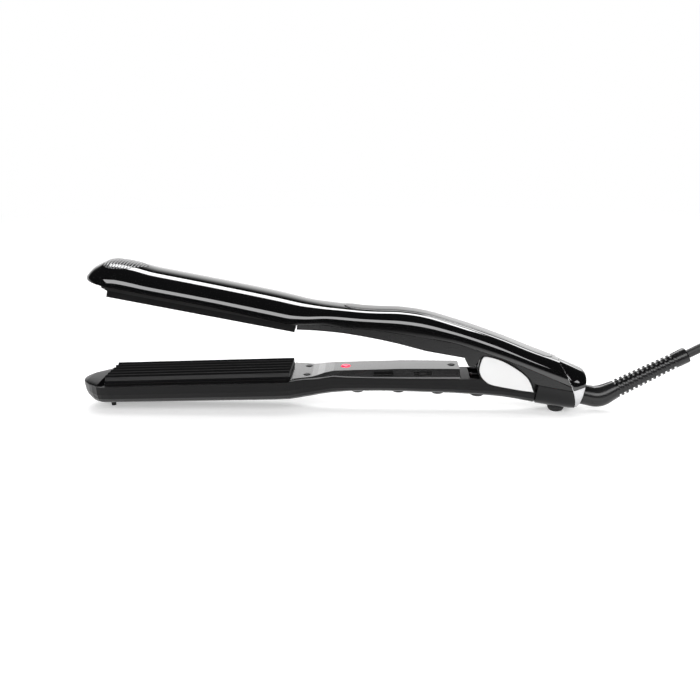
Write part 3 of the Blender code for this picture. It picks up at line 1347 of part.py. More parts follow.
def make_front_foot(arm, cover):
    x = place("nose", FRONT_FOOT_SHARE)
    floor = LOWER_BELLY(x)
    rows = ((FRONT_FOOT_SEAT, FRONT_FOOT_RADIUS), (-HINGE_HEIGHT, FRONT_FOOT_RADIUS))
    foot = turned_solid("front_foot", (x, 0.0, floor), (0, 0, 1), rows, arm, (BLACK, 0.7), sides=12)
    stand_on_floor(foot, LOWER_TILT)
    cut(cover, turned_solid("front_foot_hole", (x, 0.0, floor), (0, 0, 1), (
        (-OVERRUN, FRONT_FOOT_RADIUS + GAP), (FRONT_FOOT_SEAT + GAP, FRONT_FOOT_RADIUS + GAP)),
        arm, SATIN, sides=12))


# Jaw spring between the lower cover's floor and the upper frame's bridge
SPRING_X = -0.0158
SPRING_RADIUS = 0.0038
SPRING_WIRE = 0.00055
SPRING_TURNS = 5
SPRING_POINTS = 8
SPRING_FOOT_GAP = 0.0004


def make_jaw_spring():
    x, low = turned(SPRING_X, LOWER_BELLY(SPRING_X) + COVER_WALL, LOWER_TILT)
    high = turned(SPRING_X, BRIDGE_LOW, UPPER_TILT)[1]
    tilt_drop = (SPRING_RADIUS + SPRING_WIRE) * math.sin(UPPER_TILT)
    low += SPRING_WIRE + SPRING_FOOT_GAP
    high -= SPRING_WIRE + GAP + tilt_drop
    points = []
    steps = SPRING_TURNS * SPRING_POINTS
    for i in range(steps + 1):
        angle = 2 * math.pi * i / SPRING_POINTS
        rise = low + (high - low) * i / steps
        points.append((HINGE_X + x + SPRING_RADIUS * math.cos(angle), SPRING_RADIUS * math.sin(angle),
                       HINGE_HEIGHT + rise))
    wire_curve("jaw_spring", points, SPRING_WIRE, None, (STEEL, 0.3, 1.0), 1)


# Cord: a free stretch over to the hank, the hank, and a short lead to the plug
CORD_DIAMETER = 0.0052
CORD_RUN_POINTS = (
    (0.1772, 0.0, 0.03515), (0.1875, -0.0001, 0.0407), (0.1985, -0.0006, 0.0458),
    (0.2100, -0.0020, 0.0488), (0.2220, -0.0048, 0.0493), (0.2340, -0.0087, 0.0475),
    (0.2460, -0.0130, 0.0437), (0.2580, -0.0171, 0.0384), (0.2700, -0.0205, 0.0325),
    (0.2810, -0.0230, 0.0271), (0.2890, -0.0248, 0.0232), (0.2942, -0.0253, 0.0206),
    (0.2995, -0.0254, 0.0202),
)
CORD_LEAD_POINTS = (
    (0.29965, 0.0224, 0.00268), (0.2940, 0.0223, 0.00268), (0.2870, 0.0206, 0.00270),
    (0.2810, 0.0176, 0.00310), (0.2755, 0.0149, 0.00450), (0.2705, 0.0135, 0.00620),
    (0.2660, 0.0132, 0.00670),
)
HANK_CENTRE_X = 0.3395
HANK_RUN = 0.0790
HANK_INNER_RADIUS = 0.0156
HANK_STEP = 0.00595
HANK_LAYER = 0.0058
HANK_WAIST = 0.0080
HANK_LIFT = 0.00135
HANK_POINTS = 24
HANK_SIDES = 6
HANK_TURNS_SHARES = (-0.143, 1.5, 3.0, 4.5, 5.643)
HANK_CLIMB_SHARE = 0.125
HANK_SETTLE_SHARE = 0.12
HANK_REST_SHARE = 0.4
HANK_END_LEVEL = 0.0022
CORD_LOOK = (DARK, 0.6)


def hank_point(u):
    """Place of the cord after u turns: a drawn-in racetrack, spiralling and stepping down."""
    marks = HANK_TURNS_SHARES
    inward = u <= marks[1] or marks[2] < u <= marks[3]
    nearest = marks[1] if u <= marks[2] else marks[3]
    radius = HANK_INNER_RADIUS + abs(u - nearest) * HANK_STEP
    if inward and u > marks[2]:
        radius = HANK_INNER_RADIUS + (marks[3] - u) * HANK_STEP
    level = HANK_REST_SHARE * CORD_DIAMETER + 3 * HANK_LAYER
    for mark in marks[1:4]:
        share = min(max((u - mark) / HANK_CLIMB_SHARE / 2 + 0.5, 0.0), 1.0)
        level -= HANK_LAYER * share * share * (3 - 2 * share)
    final = min(max((u - marks[4]) / HANK_SETTLE_SHARE + 1, 0.0), 1.0)
    level += (HANK_END_LEVEL - HANK_REST_SHARE * CORD_DIAMETER) * final
    turn = u % 1.0
    quarter = -HANK_TURNS_SHARES[0]
    bend = 0.5 - 2 * quarter
    half_run = HANK_RUN / 2
    if turn < quarter or turn >= 1 - quarter:
        along = (turn if turn < quarter else turn - 1) / quarter
        x, y = along * half_run, -radius
    elif turn < quarter + bend:
        angle = math.pi * ((turn - quarter) / bend - 0.5)
        x, y = half_run + radius * math.cos(angle), radius * math.sin(angle)
        along = 1.0
    elif turn < 0.5 + quarter:
        along = (0.5 - turn) / quarter
        x, y = along * half_run, radius
    else:
        angle = math.pi * ((turn - 0.5 - quarter) / bend + 0.5)
        x, y = -half_run + radius * math.cos(angle), radius * math.sin(angle)
        along = 1.0
    drawn = math.cos(math.pi * along / 2) ** 2
    y -= math.copysign(HANK_WAIST * drawn, y)
    return Vector((HANK_CENTRE_X + x, y, level + HANK_LIFT * drawn))


def make_hank():
    marks = HANK_TURNS_SHARES
    count = int(round((marks[4] - marks[0]) * HANK_POINTS))
    points = [hank_point(marks[0] + (marks[4] - marks[0]) * i / count) for i in range(count + 1)]
    least = min(
        (points[i] - points[j]).length
        for i in range(count) for j in range(i + HANK_POINTS // 2, count)
    )
    length = sum((b - a).length for a, b in zip(points, points[1:]))
    print("hank: least gap to itself %.2f mm, length %.3f m"
          % (1000 * (least - CORD_DIAMETER), length))
    rings = []
    radius = CORD_DIAMETER / 2
    for i, point in enumerate(points):
        before, after = points[max(i - 1, 0)], points[min(i + 1, count)]
        along = (after - before).normalized()
        if i in (0, count):
            along = Vector((round(along.x), 0.0, 0.0))
        side = Vector((along.y, -along.x, 0.0)).normalized()
        up = side.cross(along)
        ring = []
        for k in range(HANK_SIDES):
            angle = 2 * math.pi * (k + 0.5) / HANK_SIDES + math.pi / HANK_SIDES
            corner = point + (side * math.cos(angle) + up * math.sin(angle)) * radius
            corner.z = max(corner.z, 0.0)
            ring.append(corner)
        rings.append(ring)
    loft("cord_hank", rings, None, CORD_LOOK)


# Tie round the hank's waist
TIE_HALF_WIDTH = 0.0040
TIE_THICKNESS = 0.0008
TIE_CORNER = 0.0030
TIE_SLACK = 0.0009


def rounded_outline(half, low, high, corner, steps=3):
    points = []
    corners = ((half - corner, low + corner, -90), (half - corner, high - corner, 0),
               (-half + corner, high - corner, 90), (-half + corner, low + corner, 180))
    for y, z, start in corners:
        for i in range(steps + 1):
            angle = math.radians(start + 90 * i / steps)
            points.append((y + corner * math.cos(angle), z + corner * math.sin(angle)))
    return points


def make_tie():
    radius = CORD_DIAMETER / 2
    widest = HANK_INNER_RADIUS + HANK_STEP * (HANK_TURNS_SHARES[2] - HANK_TURNS_SHARES[1])
    half = widest - HANK_WAIST + radius + TIE_SLACK
    top = HANK_REST_SHARE * CORD_DIAMETER + 3 * HANK_LAYER + HANK_LIFT + radius + GAP
    inner = rounded_outline(half, TIE_THICKNESS, top, TIE_CORNER)
    outer = rounded_outline(half + TIE_THICKNESS, 0.0, top + TIE_THICKNESS,
                            TIE_CORNER + TIE_THICKNESS)
    runs = ([], [])
    for x in (HANK_CENTRE_X - TIE_HALF_WIDTH, HANK_CENTRE_X + TIE_HALF_WIDTH):
        runs[0].append([(x, y, z) for y, z in outer])
        runs[1].append([(x, y, z) for y, z in inner])
    shell("hank_tie", runs[0], runs[1], None, (BLACK, 0.6), closed=True)


# Two-pin plug, lying flat
PLUG_CENTRE_Y = 0.0132
PLUG_FACE_X = 0.2176
PLUG_LENGTH = 0.0350
PLUG_HALF_WIDTH = 0.0128
PLUG_HEIGHT = 0.0137
PLUG_RELIEF_RADIUS = 0.0040
PLUG_PIN_RADIUS = 0.0020
PLUG_PIN_LENGTH = 0.0190
PLUG_PIN_PITCH = 0.0186
PLUG_CORNER = 0.0050
PLUG_BODY_SHARES = (
    (0.0, 0.8, 0.86), (0.04, 0.92, 0.96), (0.12, 1.0, 1.0), (0.45, 0.96, 1.0), (0.75, 0.72, 0.92),
    (0.92, 0.5, 0.75),
)


def plug_ring(x, half_width, half_height):
    corner = min(PLUG_CORNER, half_height * 0.9, half_width * 0.9)
    middle = PLUG_HEIGHT / 2
    outline = rounded_outline(half_width, middle - half_height, middle + half_height, corner, 2)
    return [(x, PLUG_CENTRE_Y + y, z) for y, z in outline]


def make_plug():
    rings = []
    for along, width, height in PLUG_BODY_SHARES:
        rings.append(plug_ring(PLUG_FACE_X + along * PLUG_LENGTH, width * PLUG_HALF_WIDTH,
                               height * PLUG_HEIGHT / 2))
    for along, radius_share in ((1.0, 1.1), (1.15, 1.0), (1.37, 0.85)):
        radius = PLUG_RELIEF_RADIUS * radius_share
        rings.append(plug_ring(PLUG_FACE_X + along * PLUG_LENGTH, radius, radius))
    loft("plug_body", rings, None, (BLACK, 0.5))
    for number, side in ((1, -1), (2, 1)):
        centre = (PLUG_FACE_X - GAP, PLUG_CENTRE_Y + side * PLUG_PIN_PITCH / 2, PLUG_HEIGHT / 2)
        turned_solid("plug_pin_%d" % number, centre, (-1, 0, 0), (
            (0.0, PLUG_PIN_RADIUS), (PLUG_PIN_LENGTH - PLUG_PIN_RADIUS, PLUG_PIN_RADIUS),
            (PLUG_PIN_LENGTH, PLUG_PIN_RADIUS / 2)), None, (STEEL, 0.25, 1.0), sides=12)


def make_cord():
    radius = CORD_DIAMETER / 2
    wire_curve("cord_run", smooth_open(CORD_RUN_POINTS, 2), radius, None, CORD_LOOK, 2)
    make_hank()
    wire_curve("cord_lead", smooth_open(CORD_LEAD_POINTS, 2), radius, None, CORD_LOOK, 2)
    make_tie()
    make_plug()


def build():
    clear_scene()
    upper = make_arm("upper_arm", UPPER_TILT)
    lower = make_arm("lower_arm", LOWER_TILT)
    cover = make_upper_cover(upper)
    make_inlays(upper, cover)
    make_tip_bumper(upper, cover)
    frame = make_upper_frame(upper)
    make_upper_carrier(upper)
    make_tail_housing(upper, frame)
    make_end_cap(upper)
    make_inner_wiring(upper)
    make_hinge_pin(upper)
    make_boot()
    cover = make_lower_cover(lower)
    panel = make_lower_frame(lower)
    make_lower_carrier(lower)
    make_electronics(lower, panel)
    make_switches(lower, panel)
    make_pads(lower)
    make_front_foot(lower, cover)
    make_plates(upper, lower)
    make_jaw_spring()
    make_cord()
    bpy.context.view_layer.update()


build()
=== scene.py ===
import math

import bmesh
import bpy
from mathutils import Matrix, Vector


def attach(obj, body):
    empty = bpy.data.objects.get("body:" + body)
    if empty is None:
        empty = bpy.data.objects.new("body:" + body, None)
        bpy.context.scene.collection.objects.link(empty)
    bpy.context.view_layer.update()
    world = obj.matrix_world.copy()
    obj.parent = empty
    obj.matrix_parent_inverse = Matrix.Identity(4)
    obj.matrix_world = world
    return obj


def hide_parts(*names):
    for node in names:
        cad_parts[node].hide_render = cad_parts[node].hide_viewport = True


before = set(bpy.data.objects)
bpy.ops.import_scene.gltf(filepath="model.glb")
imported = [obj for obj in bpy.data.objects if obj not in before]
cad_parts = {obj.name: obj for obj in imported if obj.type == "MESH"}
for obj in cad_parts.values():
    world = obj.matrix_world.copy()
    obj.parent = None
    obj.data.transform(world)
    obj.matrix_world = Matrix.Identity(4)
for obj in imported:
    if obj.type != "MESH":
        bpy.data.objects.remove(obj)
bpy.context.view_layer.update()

# Camera
# A product camera a little above the table, half a metre in front of the crimper,
# which lies across the picture with its cord leaving on the right.
LENS_LENGTH = 44.74
SENSOR_WIDTH = 36.0
CAMERA_PLACE = (-0.0036, -0.49455, 0.17489)
CAMERA_PITCH = math.radians(74.3)
CAMERA_TURN = math.radians(1.9)
camera_data = bpy.data.cameras.new("product_camera")
camera_data.lens = LENS_LENGTH
camera_data.sensor_width = SENSOR_WIDTH
camera_data.clip_start = 0.01
camera = bpy.data.objects.new("product_camera", camera_data)
camera.location = CAMERA_PLACE
camera.rotation_euler = (CAMERA_PITCH, 0.0, CAMERA_TURN)
bpy.context.scene.collection.objects.link(camera)
bpy.context.scene.camera = camera
bpy.context.scene.view_settings.view_transform = "Standard"


# Mains cord
# Round two-core cord in soft black PVC, 5.2 mm thick. It arches out of the boot to a
# hank folded in line with the tool, and its short end leads back to the plug.
def skin_group():
    """Shared effect of moulded surfaces: slow mottling, fine grain and faint rub marks."""
    tree = bpy.data.node_groups.new("moulded_skin", "ShaderNodeTree")
    for label, value in (("Mottle Scale", 60.0), ("Grain Scale", 2500.0), ("Rub Scale", 400.0)):
        socket = tree.interface.new_socket(label, in_out="INPUT", socket_type="NodeSocketFloat")
        socket.default_value = value
    for label in ("Mottle", "Grain", "Rub"):
        tree.interface.new_socket(label, in_out="OUTPUT", socket_type="NodeSocketFloat")
    nodes, links = tree.nodes, tree.links
    entry = nodes.new("NodeGroupInput")
    result = nodes.new("NodeGroupOutput")
    place = nodes.new("ShaderNodeTexCoord")
    for label, detail in (("Mottle", 3.0), ("Grain", 1.0)):
        noise = nodes.new("ShaderNodeTexNoise")
        noise.inputs["Detail"].default_value = detail
        links.new(place.outputs["Object"], noise.inputs["Vector"])
        links.new(entry.outputs[label + " Scale"], noise.inputs["Scale"])
        links.new(noise.outputs["Fac"], result.inputs[label])
    stretch = nodes.new("ShaderNodeMapping")
    stretch.inputs["Scale"].default_value = (0.06, 1.0, 1.0)
    rub = nodes.new("ShaderNodeTexNoise")
    rub.inputs["Detail"].default_value = 4.0
    edge = nodes.new("ShaderNodeMapRange")
    edge.inputs["From Min"].default_value = 0.58
    edge.inputs["From Max"].default_value = 0.72
    links.new(place.outputs["Object"], stretch.inputs["Vector"])
    links.new(stretch.outputs["Vector"], rub.inputs["Vector"])
    links.new(entry.outputs["Rub Scale"], rub.inputs["Scale"])
    links.new(rub.outputs["Fac"], edge.inputs["Value"])
    links.new(edge.outputs["Result"], result.inputs["Rub"])
    return tree


moulded_skin = skin_group()


def moulded(name, dark, light, roughness, spread=0.05, rub=0.08, grain=2500.0, mottle=60.0,
            depth=0.00002, metallic=0.0, specular=0.5, coat=0.0):
    """Moulded finish: mottled colour, roughness that varies with rubbing, and a fine grain."""
    material = bpy.data.materials.new(name)
    material.use_nodes = True
    nodes, links = material.node_tree.nodes, material.node_tree.links
    shader = nodes["Principled BSDF"]
    shader.inputs["Metallic"].default_value = metallic
    shader.inputs["Specular IOR Level"].default_value = specular
    shader.inputs["Coat Weight"].default_value = coat
    shader.inputs["Coat Roughness"].default_value = 0.04
    skin = nodes.new("ShaderNodeGroup")
    skin.node_tree = moulded_skin
    skin.inputs["Mottle Scale"].default_value = mottle
    skin.inputs["Grain Scale"].default_value = grain
    tone = nodes.new("ShaderNodeMix")
    tone.data_type = "RGBA"
    tone.inputs["A"].default_value = (*dark, 1.0)
    tone.inputs["B"].default_value = (*light, 1.0)
    links.new(skin.outputs["Mottle"], tone.inputs["Factor"])
    links.new(tone.outputs["Result"], shader.inputs["Base Color"])
    slow = nodes.new("ShaderNodeMapRange")
    slow.inputs["To Min"].default_value = roughness - spread
    slow.inputs["To Max"].default_value = roughness + spread
    links.new(skin.outputs["Mottle"], slow.inputs["Value"])
    rubbed = nodes.new("ShaderNodeMath")
    rubbed.operation = "MULTIPLY_ADD"
    rubbed.inputs[1].default_value = rub
    links.new(skin.outputs["Rub"], rubbed.inputs[0])
    links.new(slow.outputs["Result"], rubbed.inputs[2])
    links.new(rubbed.outputs["Value"], shader.inputs["Roughness"])
    bump = nodes.new("ShaderNodeBump")
    bump.inputs["Strength"].default_value = 0.5
    bump.inputs["Distance"].default_value = depth
    links.new(skin.outputs["Grain"], bump.inputs["Height"])
    links.new(bump.outputs["Normal"], shader.inputs["Normal"])
    return material


def make_piece(name, points, faces, finish, body, stands_for=(), sharp=38.0):
    """Closed mesh piece in the rest pose, smooth apart from its sharp edges."""
    mesh = bpy.data.meshes.new(name)
    mesh.from_pydata([tuple(point) for point in points], [], faces)
    work = bmesh.new()
    work.from_mesh(mesh)
    bmesh.ops.recalc_face_normals(work, faces=work.faces)
    work.to_mesh(mesh)
    work.free()
    mesh.shade_smooth()
    mesh.set_sharp_from_angle(angle=math.radians(sharp))
    mesh.materials.append(finish)
    piece = bpy.data.objects.new(name, mesh)
    bpy.context.scene.collection.objects.link(piece)
    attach(piece, body)
    if stands_for:
        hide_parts(*stands_for)
    return piece


def dress(finish, *names):
    """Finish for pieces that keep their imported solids."""
    for name in names:
        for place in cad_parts[name].material_slots:
            place.material = finish


def loft(name, rings, finish, body, stands_for=(), sharp=38.0):
    """Solid between rings of equal count, closed by a face at each end."""
    count = len(rings[0])
    points = [point for ring in rings for point in ring]
    faces = [tuple(range(count)), tuple(range((len(rings) - 1) * count, len(rings) * count))]
    for i in range(len(rings) - 1):
        for j in range(count):
            k = (j + 1) % count
            faces.append((i * count + j, i * count + k, (i + 1) * count + k, (i + 1) * count + j))
    return make_piece(name, points, faces, finish, body, stands_for, sharp)


def smooth_route(points, steps):
    """Curve through points by the Catmull-Rom rule."""
    rows = [Vector(point) for point in points]
    rows = [rows[0] * 2 - rows[1]] + rows + [rows[-1] * 2 - rows[-2]]
    curve = []
    for i in range(1, len(rows) - 2):
        for j in range(steps):
            t = j / steps
            a, b, c, d = rows[i - 1], rows[i], rows[i + 1], rows[i + 2]
            curve.append((b * 2 + (c - a) * t + (a * 2 - b * 5 + c * 4 - d) * t**2
                          + (b * 3 - a - c * 3 + d) * t**3) / 2)
    curve.append(rows[-2])
    return curve


CORD_DIAMETER = 0.0052
CORD_RUN_POINTS = (
    (0.1772, 0.0, 0.03515), (0.1875, -0.0001, 0.0407), (0.1985, -0.0006, 0.0458),
    (0.2100, -0.0020, 0.0488), (0.2220, -0.0048, 0.0493), (0.2340, -0.0087, 0.0475),
    (0.2460, -0.0130, 0.0437), (0.2580, -0.0171, 0.0384), (0.2700, -0.0205, 0.0325),
    (0.2810, -0.0230, 0.0271), (0.2890, -0.0248, 0.0232), (0.2942, -0.0253, 0.0206),
)
CORD_LEAD_POINTS = (
    (0.2940, 0.0223, 0.00268), (0.2870, 0.0206, 0.00270), (0.2810, 0.0176, 0.00310),
    (0.2755, 0.0149, 0.00450), (0.2705, 0.0135, 0.00620), (0.2660, 0.0132, 0.00670),
)
HANK_CENTRE_X = 0.3395
HANK_RUN = 0.0790
HANK_INNER_RADIUS = 0.0156
HANK_STEP = 0.00595
HANK_LAYER = 0.0058
HANK_WAIST = 0.0080
HANK_LIFT = 0.00135
HANK_TURNS_SHARES = (-0.143, 1.5, 3.0, 4.5, 5.643)
HANK_CLIMB_SHARE = 0.125
HANK_SETTLE_SHARE = 0.12
HANK_REST_SHARE = 0.4
HANK_END_LEVEL = 0.0022


def hank_point(u):
    """Place of the cord after u turns: a drawn-in racetrack, spiralling and stepping down."""
    marks = HANK_TURNS_SHARES
    nearest = marks[1] if u <= marks[2] else marks[3]
    radius = HANK_INNER_RADIUS + abs(u - nearest) * HANK_STEP
    level = HANK_REST_SHARE * CORD_DIAMETER + 3 * HANK_LAYER
    for mark in marks[1:4]:
        share = min(max((u - mark) / HANK_CLIMB_SHARE / 2 + 0.5, 0.0), 1.0)
        level -= HANK_LAYER * share * share * (3 - 2 * share)
    final = min(max((u - marks[4]) / HANK_SETTLE_SHARE + 1, 0.0), 1.0)
    level += (HANK_END_LEVEL - HANK_REST_SHARE * CORD_DIAMETER) * final
    turn = u % 1.0
    quarter = -marks[0]
    bend = 0.5 - 2 * quarter
    half_run = HANK_RUN / 2
    along = 1.0
    if turn < quarter or turn >= 1 - quarter:
        along = (turn if turn < quarter else turn - 1) / quarter
        x, y = along * half_run, -radius
    elif turn < quarter + bend:
        angle = math.pi * ((turn - quarter) / bend - 0.5)
        x, y = half_run + radius * math.cos(angle), radius * math.sin(angle)
    elif turn < 0.5 + quarter:
        along = (0.5 - turn) / quarter
        x, y = along * half_run, radius
    else:
        angle = math.pi * ((turn - 0.5 - quarter) / bend + 0.5)
        x, y = -half_run + radius * math.cos(angle), radius * math.sin(angle)
    drawn = math.cos(math.pi * along / 2) ** 2
    y -= math.copysign(HANK_WAIST * drawn, y)
    return Vector((HANK_CENTRE_X + x, y, level + HANK_LIFT * drawn))


def tube(name, route, radius, sides, finish, body, stands_for=()):
    """Round tube along a route; its sections turn with the route and never sink below the table."""
    rings = []
    across = Vector((0.0, 1.0, 0.0))
    for i, point in enumerate(route):
        along = (route[min(i + 1, len(route) - 1)] - route[max(i - 1, 0)]).normalized()
        across = (across - along * across.dot(along)).normalized()
        up = along.cross(across)
        ring = []
        for k in range(sides):
            angle = 2 * math.pi * k / sides
            corner = point + (across * math.cos(angle) + up * math.sin(angle)) * radius
            corner.z = max(corner.z, 0.0)
            ring.append(corner)
        rings.append(ring)
    return loft(name, rings, finish, body, stands_for)


HANK_STEPS_A_TURN = 24
first_turn = HANK_TURNS_SHARES[0]
turns = HANK_TURNS_SHARES[4] - first_turn
hank_steps = int(turns * HANK_STEPS_A_TURN)
hank_route = [hank_point(first_turn + turns * i / hank_steps) for i in range(hank_steps + 1)]
cord_knots = list(CORD_RUN_POINTS) + hank_route + list(CORD_LEAD_POINTS)
cord_route = smooth_route(cord_knots, 2)
cord_finish = moulded("cord_pvc", (0.012, 0.012, 0.013), (0.022, 0.022, 0.023), 0.42, spread=0.06,
                      rub=0.1, grain=1800.0, mottle=90.0, depth=0.00003)
mains_cord = tube("mains_cord", cord_route, CORD_DIAMETER / 2, 14, cord_finish, "upper_arm",
                  ("cord_run", "cord_hank", "cord_lead"))


# Hank tie
# Hook-and-loop strap in woven black nylon, pulled once round the waist of the hank.
def rounded_box(half, low, high, corner, steps):
    """Rounded rectangle (y, z) round the cord or the plug."""
    outline = []
    corners = ((half - corner, low + corner, -90), (half - corner, high - corner, 0),
               (-half + corner, high - corner, 90), (-half + corner, low + corner, 180))
    for y, z, start in corners:
        for i in range(steps + 1):
            angle = math.radians(start + 90 * i / steps)
            outline.append((y + corner * math.cos(angle), z + corner * math.sin(angle)))
    return outline


def band(name, outers, inners, finish, body, stands_for=(), closed=True, sharp=38.0):
    """Wall between outer and inner runs, one pair of runs for each station."""
    count = len(outers[0])
    stations = len(outers)
    points = [point for run in outers for point in run] + [point for run in inners for point in run]
    skin = stations * count
    spans = count if closed else count - 1
    faces = []
    for i in range(stations - 1):
        for j in range(spans):
            k = (j + 1) % count
            for base in (0, skin):
                low, high = base + i * count, base + (i + 1) * count
                faces.append((low + j, low + k, high + k, high + j))
        if not closed:
            for j in (0, count - 1):
                low, high = i * count + j, (i + 1) * count + j
                faces.append((low, high, skin + high, skin + low))
    for i in (0, stations - 1):
        for j in range(spans):
            k = (j + 1) % count
            low, high = i * count + j, i * count + k
            faces.append((low, high, skin + high, skin + low))
    return make_piece(name, points, faces, finish, body, stands_for, sharp)


tie_finish = moulded("strap_weave", (0.006, 0.006, 0.006), (0.02, 0.02, 0.02), 0.75, spread=0.08,
                     rub=0.05, grain=3500.0, mottle=1200.0, depth=0.00012)
TIE_WIDTH = 0.0080
TIE_WALL = 0.0008
TIE_HEM = 0.0002
TIE_SIDE_ROOM = 0.0009
TIE_TOP_ROOM = 0.0003
TIE_CORNER = 0.0030
TIE_STATIONS = 8
TIE_CORNER_STEPS = 7
tie_half = (HANK_INNER_RADIUS + 1.5 * HANK_STEP - HANK_WAIST + CORD_DIAMETER / 2
            + TIE_SIDE_ROOM)
tie_top = (HANK_REST_SHARE * CORD_DIAMETER + 3 * HANK_LAYER + HANK_LIFT + CORD_DIAMETER / 2
           + TIE_TOP_ROOM)
tie_runs = ([], [])
for step in range(TIE_STATIONS + 1):
    x = HANK_CENTRE_X + TIE_WIDTH * (step / TIE_STATIONS - 0.5)
    hem = TIE_HEM if step in (0, TIE_STATIONS) else 0.0
    outer = rounded_box(tie_half + TIE_WALL - hem, hem, tie_top + TIE_WALL - hem,
                        TIE_CORNER + TIE_WALL, TIE_CORNER_STEPS)
    inner = rounded_box(tie_half, TIE_WALL, tie_top, TIE_CORNER, TIE_CORNER_STEPS)
    tie_runs[0].append([(x, y, z) for y, z in outer])
    tie_runs[1].append([(x, y, z) for y, z in inner])
hank_strap = band("hank_strap", tie_runs[0], tie_runs[1], tie_finish, "upper_arm",
                  ("hank_tie",))


# Plug
# Flat two-pin plug, moulded on the cord in one piece, with finger grooves on both
# sides and a short tapered relief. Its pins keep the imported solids.
PLUG_FACE_X = 0.2176
PLUG_Y = 0.0132
PLUG_MID = 0.00685
PLUG_LENGTH = 0.0350
PLUG_HALF = 0.0128
PLUG_CORNER = 0.0050
PLUG_CORNER_STEPS = 6
RELIEF_SHARE = 0.37
RELIEF_STEPS = 12
RELIEF_RADIUS = 0.0044
RELIEF_TAPER = 0.0010
RELIEF_GROOVE = 0.0004
plug_finish = moulded("plug_rubber", (0.01, 0.01, 0.011), (0.018, 0.018, 0.019), 0.48, spread=0.06,
                      grain=2200.0, mottle=120.0, depth=0.00003)
plug_rows = ((0.0, 0.76, 0.82), (0.012, 0.8, 0.86), (0.04, 0.92, 0.96), (0.12, 1.0, 1.0),
             (0.24, 0.995, 1.0), (0.3, 0.96, 0.985), (0.36, 0.985, 1.0), (0.42, 0.945, 0.98),
             (0.48, 0.96, 1.0), (0.54, 0.885, 0.965), (0.62, 0.855, 0.97), (0.75, 0.72, 0.92),
             (0.92, 0.5, 0.75))
plug_rings = []
for along, wide, high in plug_rows:
    half = PLUG_HALF * wide
    tall = PLUG_MID * high
    corner = min(PLUG_CORNER, tall * 0.9, half * 0.9)
    x = PLUG_FACE_X + PLUG_LENGTH * along
    outline = rounded_box(half, PLUG_MID - tall, PLUG_MID + tall, corner, PLUG_CORNER_STEPS)
    plug_rings.append([(x, PLUG_Y + y, z) for y, z in outline])
for step in range(RELIEF_STEPS + 1):
    share = step / RELIEF_STEPS
    radius = RELIEF_RADIUS - RELIEF_TAPER * share - (RELIEF_GROOVE if step % 3 == 1 else 0.0)
    x = PLUG_FACE_X + PLUG_LENGTH * (1.0 + RELIEF_SHARE * share)
    outline = rounded_box(radius, PLUG_MID - radius, PLUG_MID + radius, radius * 0.9,
                          PLUG_CORNER_STEPS)
    plug_rings.append([(x, PLUG_Y + y, z) for y, z in outline])
plug = loft("plug_moulding", plug_rings, plug_finish, "upper_arm", ("plug_body",))
pin_finish = moulded("pin_nickel", (0.55, 0.53, 0.5), (0.68, 0.66, 0.62), 0.22, rub=0.15,
                     grain=1500.0, mottle=200.0, depth=0.00001, metallic=1.0)
dress(pin_finish, "plug_pin_1", "plug_pin_2")


# Table, backdrop and light
# A white table that fades into a white surround. One long softbox behind draws the white
# streak on the gloss arm and a short one carries it over the tail. One in front draws the
# grey streak, and one above fills without showing in the gloss.
TABLE_CORNERS = [(-4.0, -3.0, 0.0), (4.0, -3.0, 0.0), (4.0, 5.0, 0.0), (-4.0, 5.0, 0.0)]
TABLE_LIFT = 0.38
FADE_START = 0.45
FADE_END = 1.1
# Where the front of the table starts to turn near-black in reflections: a painted dark reflection.
DARK_START = -0.12
DARK_END = -0.28


def math_node(nodes, operation):
    node = nodes.new("ShaderNodeMath")
    node.operation = operation
    return node


def smooth_ramp(nodes, start, end):
    """Smooth rise from 0 at one value to 1 at the other."""
    node = nodes.new("ShaderNodeMapRange")
    node.interpolation_type = "SMOOTHSTEP"
    node.inputs["From Min"].default_value = start
    node.inputs["From Max"].default_value = end
    return node


floor_mesh = bpy.data.meshes.new("table_top")
floor_mesh.from_pydata(TABLE_CORNERS, [], [(0, 1, 2, 3)])
table_top = bpy.data.objects.new("table_top", floor_mesh)
bpy.context.scene.collection.objects.link(table_top)
table_finish = bpy.data.materials.new("table_white")
table_finish.use_nodes = True
nodes, links = table_finish.node_tree.nodes, table_finish.node_tree.links
nodes.clear()
output = nodes.new("ShaderNodeOutputMaterial")
matte = nodes.new("ShaderNodeBsdfDiffuse")
matte.inputs["Color"].default_value = (0.8, 0.8, 0.8, 1.0)
glow = nodes.new("ShaderNodeEmission")
glow.inputs["Strength"].default_value = 1.0
lift = nodes.new("ShaderNodeEmission")
path = nodes.new("ShaderNodeLightPath")
seen = math_node(nodes, "MAXIMUM")
seen_through = math_node(nodes, "MAXIMUM")
place = nodes.new("ShaderNodeTexCoord")
distance = nodes.new("ShaderNodeVectorMath")
distance.operation = "LENGTH"
fade = nodes.new("ShaderNodeMapRange")
fade.inputs["From Min"].default_value = FADE_START
fade.inputs["From Max"].default_value = FADE_END
far = math_node(nodes, "MULTIPLY")
raised = math_node(nodes, "MULTIPLY")
raised.inputs[1].default_value = TABLE_LIFT
near_mix = nodes.new("ShaderNodeAddShader")
mix = nodes.new("ShaderNodeMixShader")
links.new(path.outputs["Is Camera Ray"], seen.inputs[0])
links.new(path.outputs["Is Glossy Ray"], seen.inputs[1])
links.new(seen.outputs["Value"], seen_through.inputs[0])
links.new(path.outputs["Is Transmission Ray"], seen_through.inputs[1])
links.new(place.outputs["Object"], distance.inputs[0])
links.new(distance.outputs["Value"], fade.inputs["Value"])
links.new(fade.outputs["Result"], far.inputs[0])
links.new(seen_through.outputs["Value"], far.inputs[1])
links.new(seen_through.outputs["Value"], raised.inputs[0])
links.new(raised.outputs["Value"], lift.inputs["Strength"])
links.new(matte.outputs["BSDF"], near_mix.inputs[0])
links.new(lift.outputs["Emission"], near_mix.inputs[1])
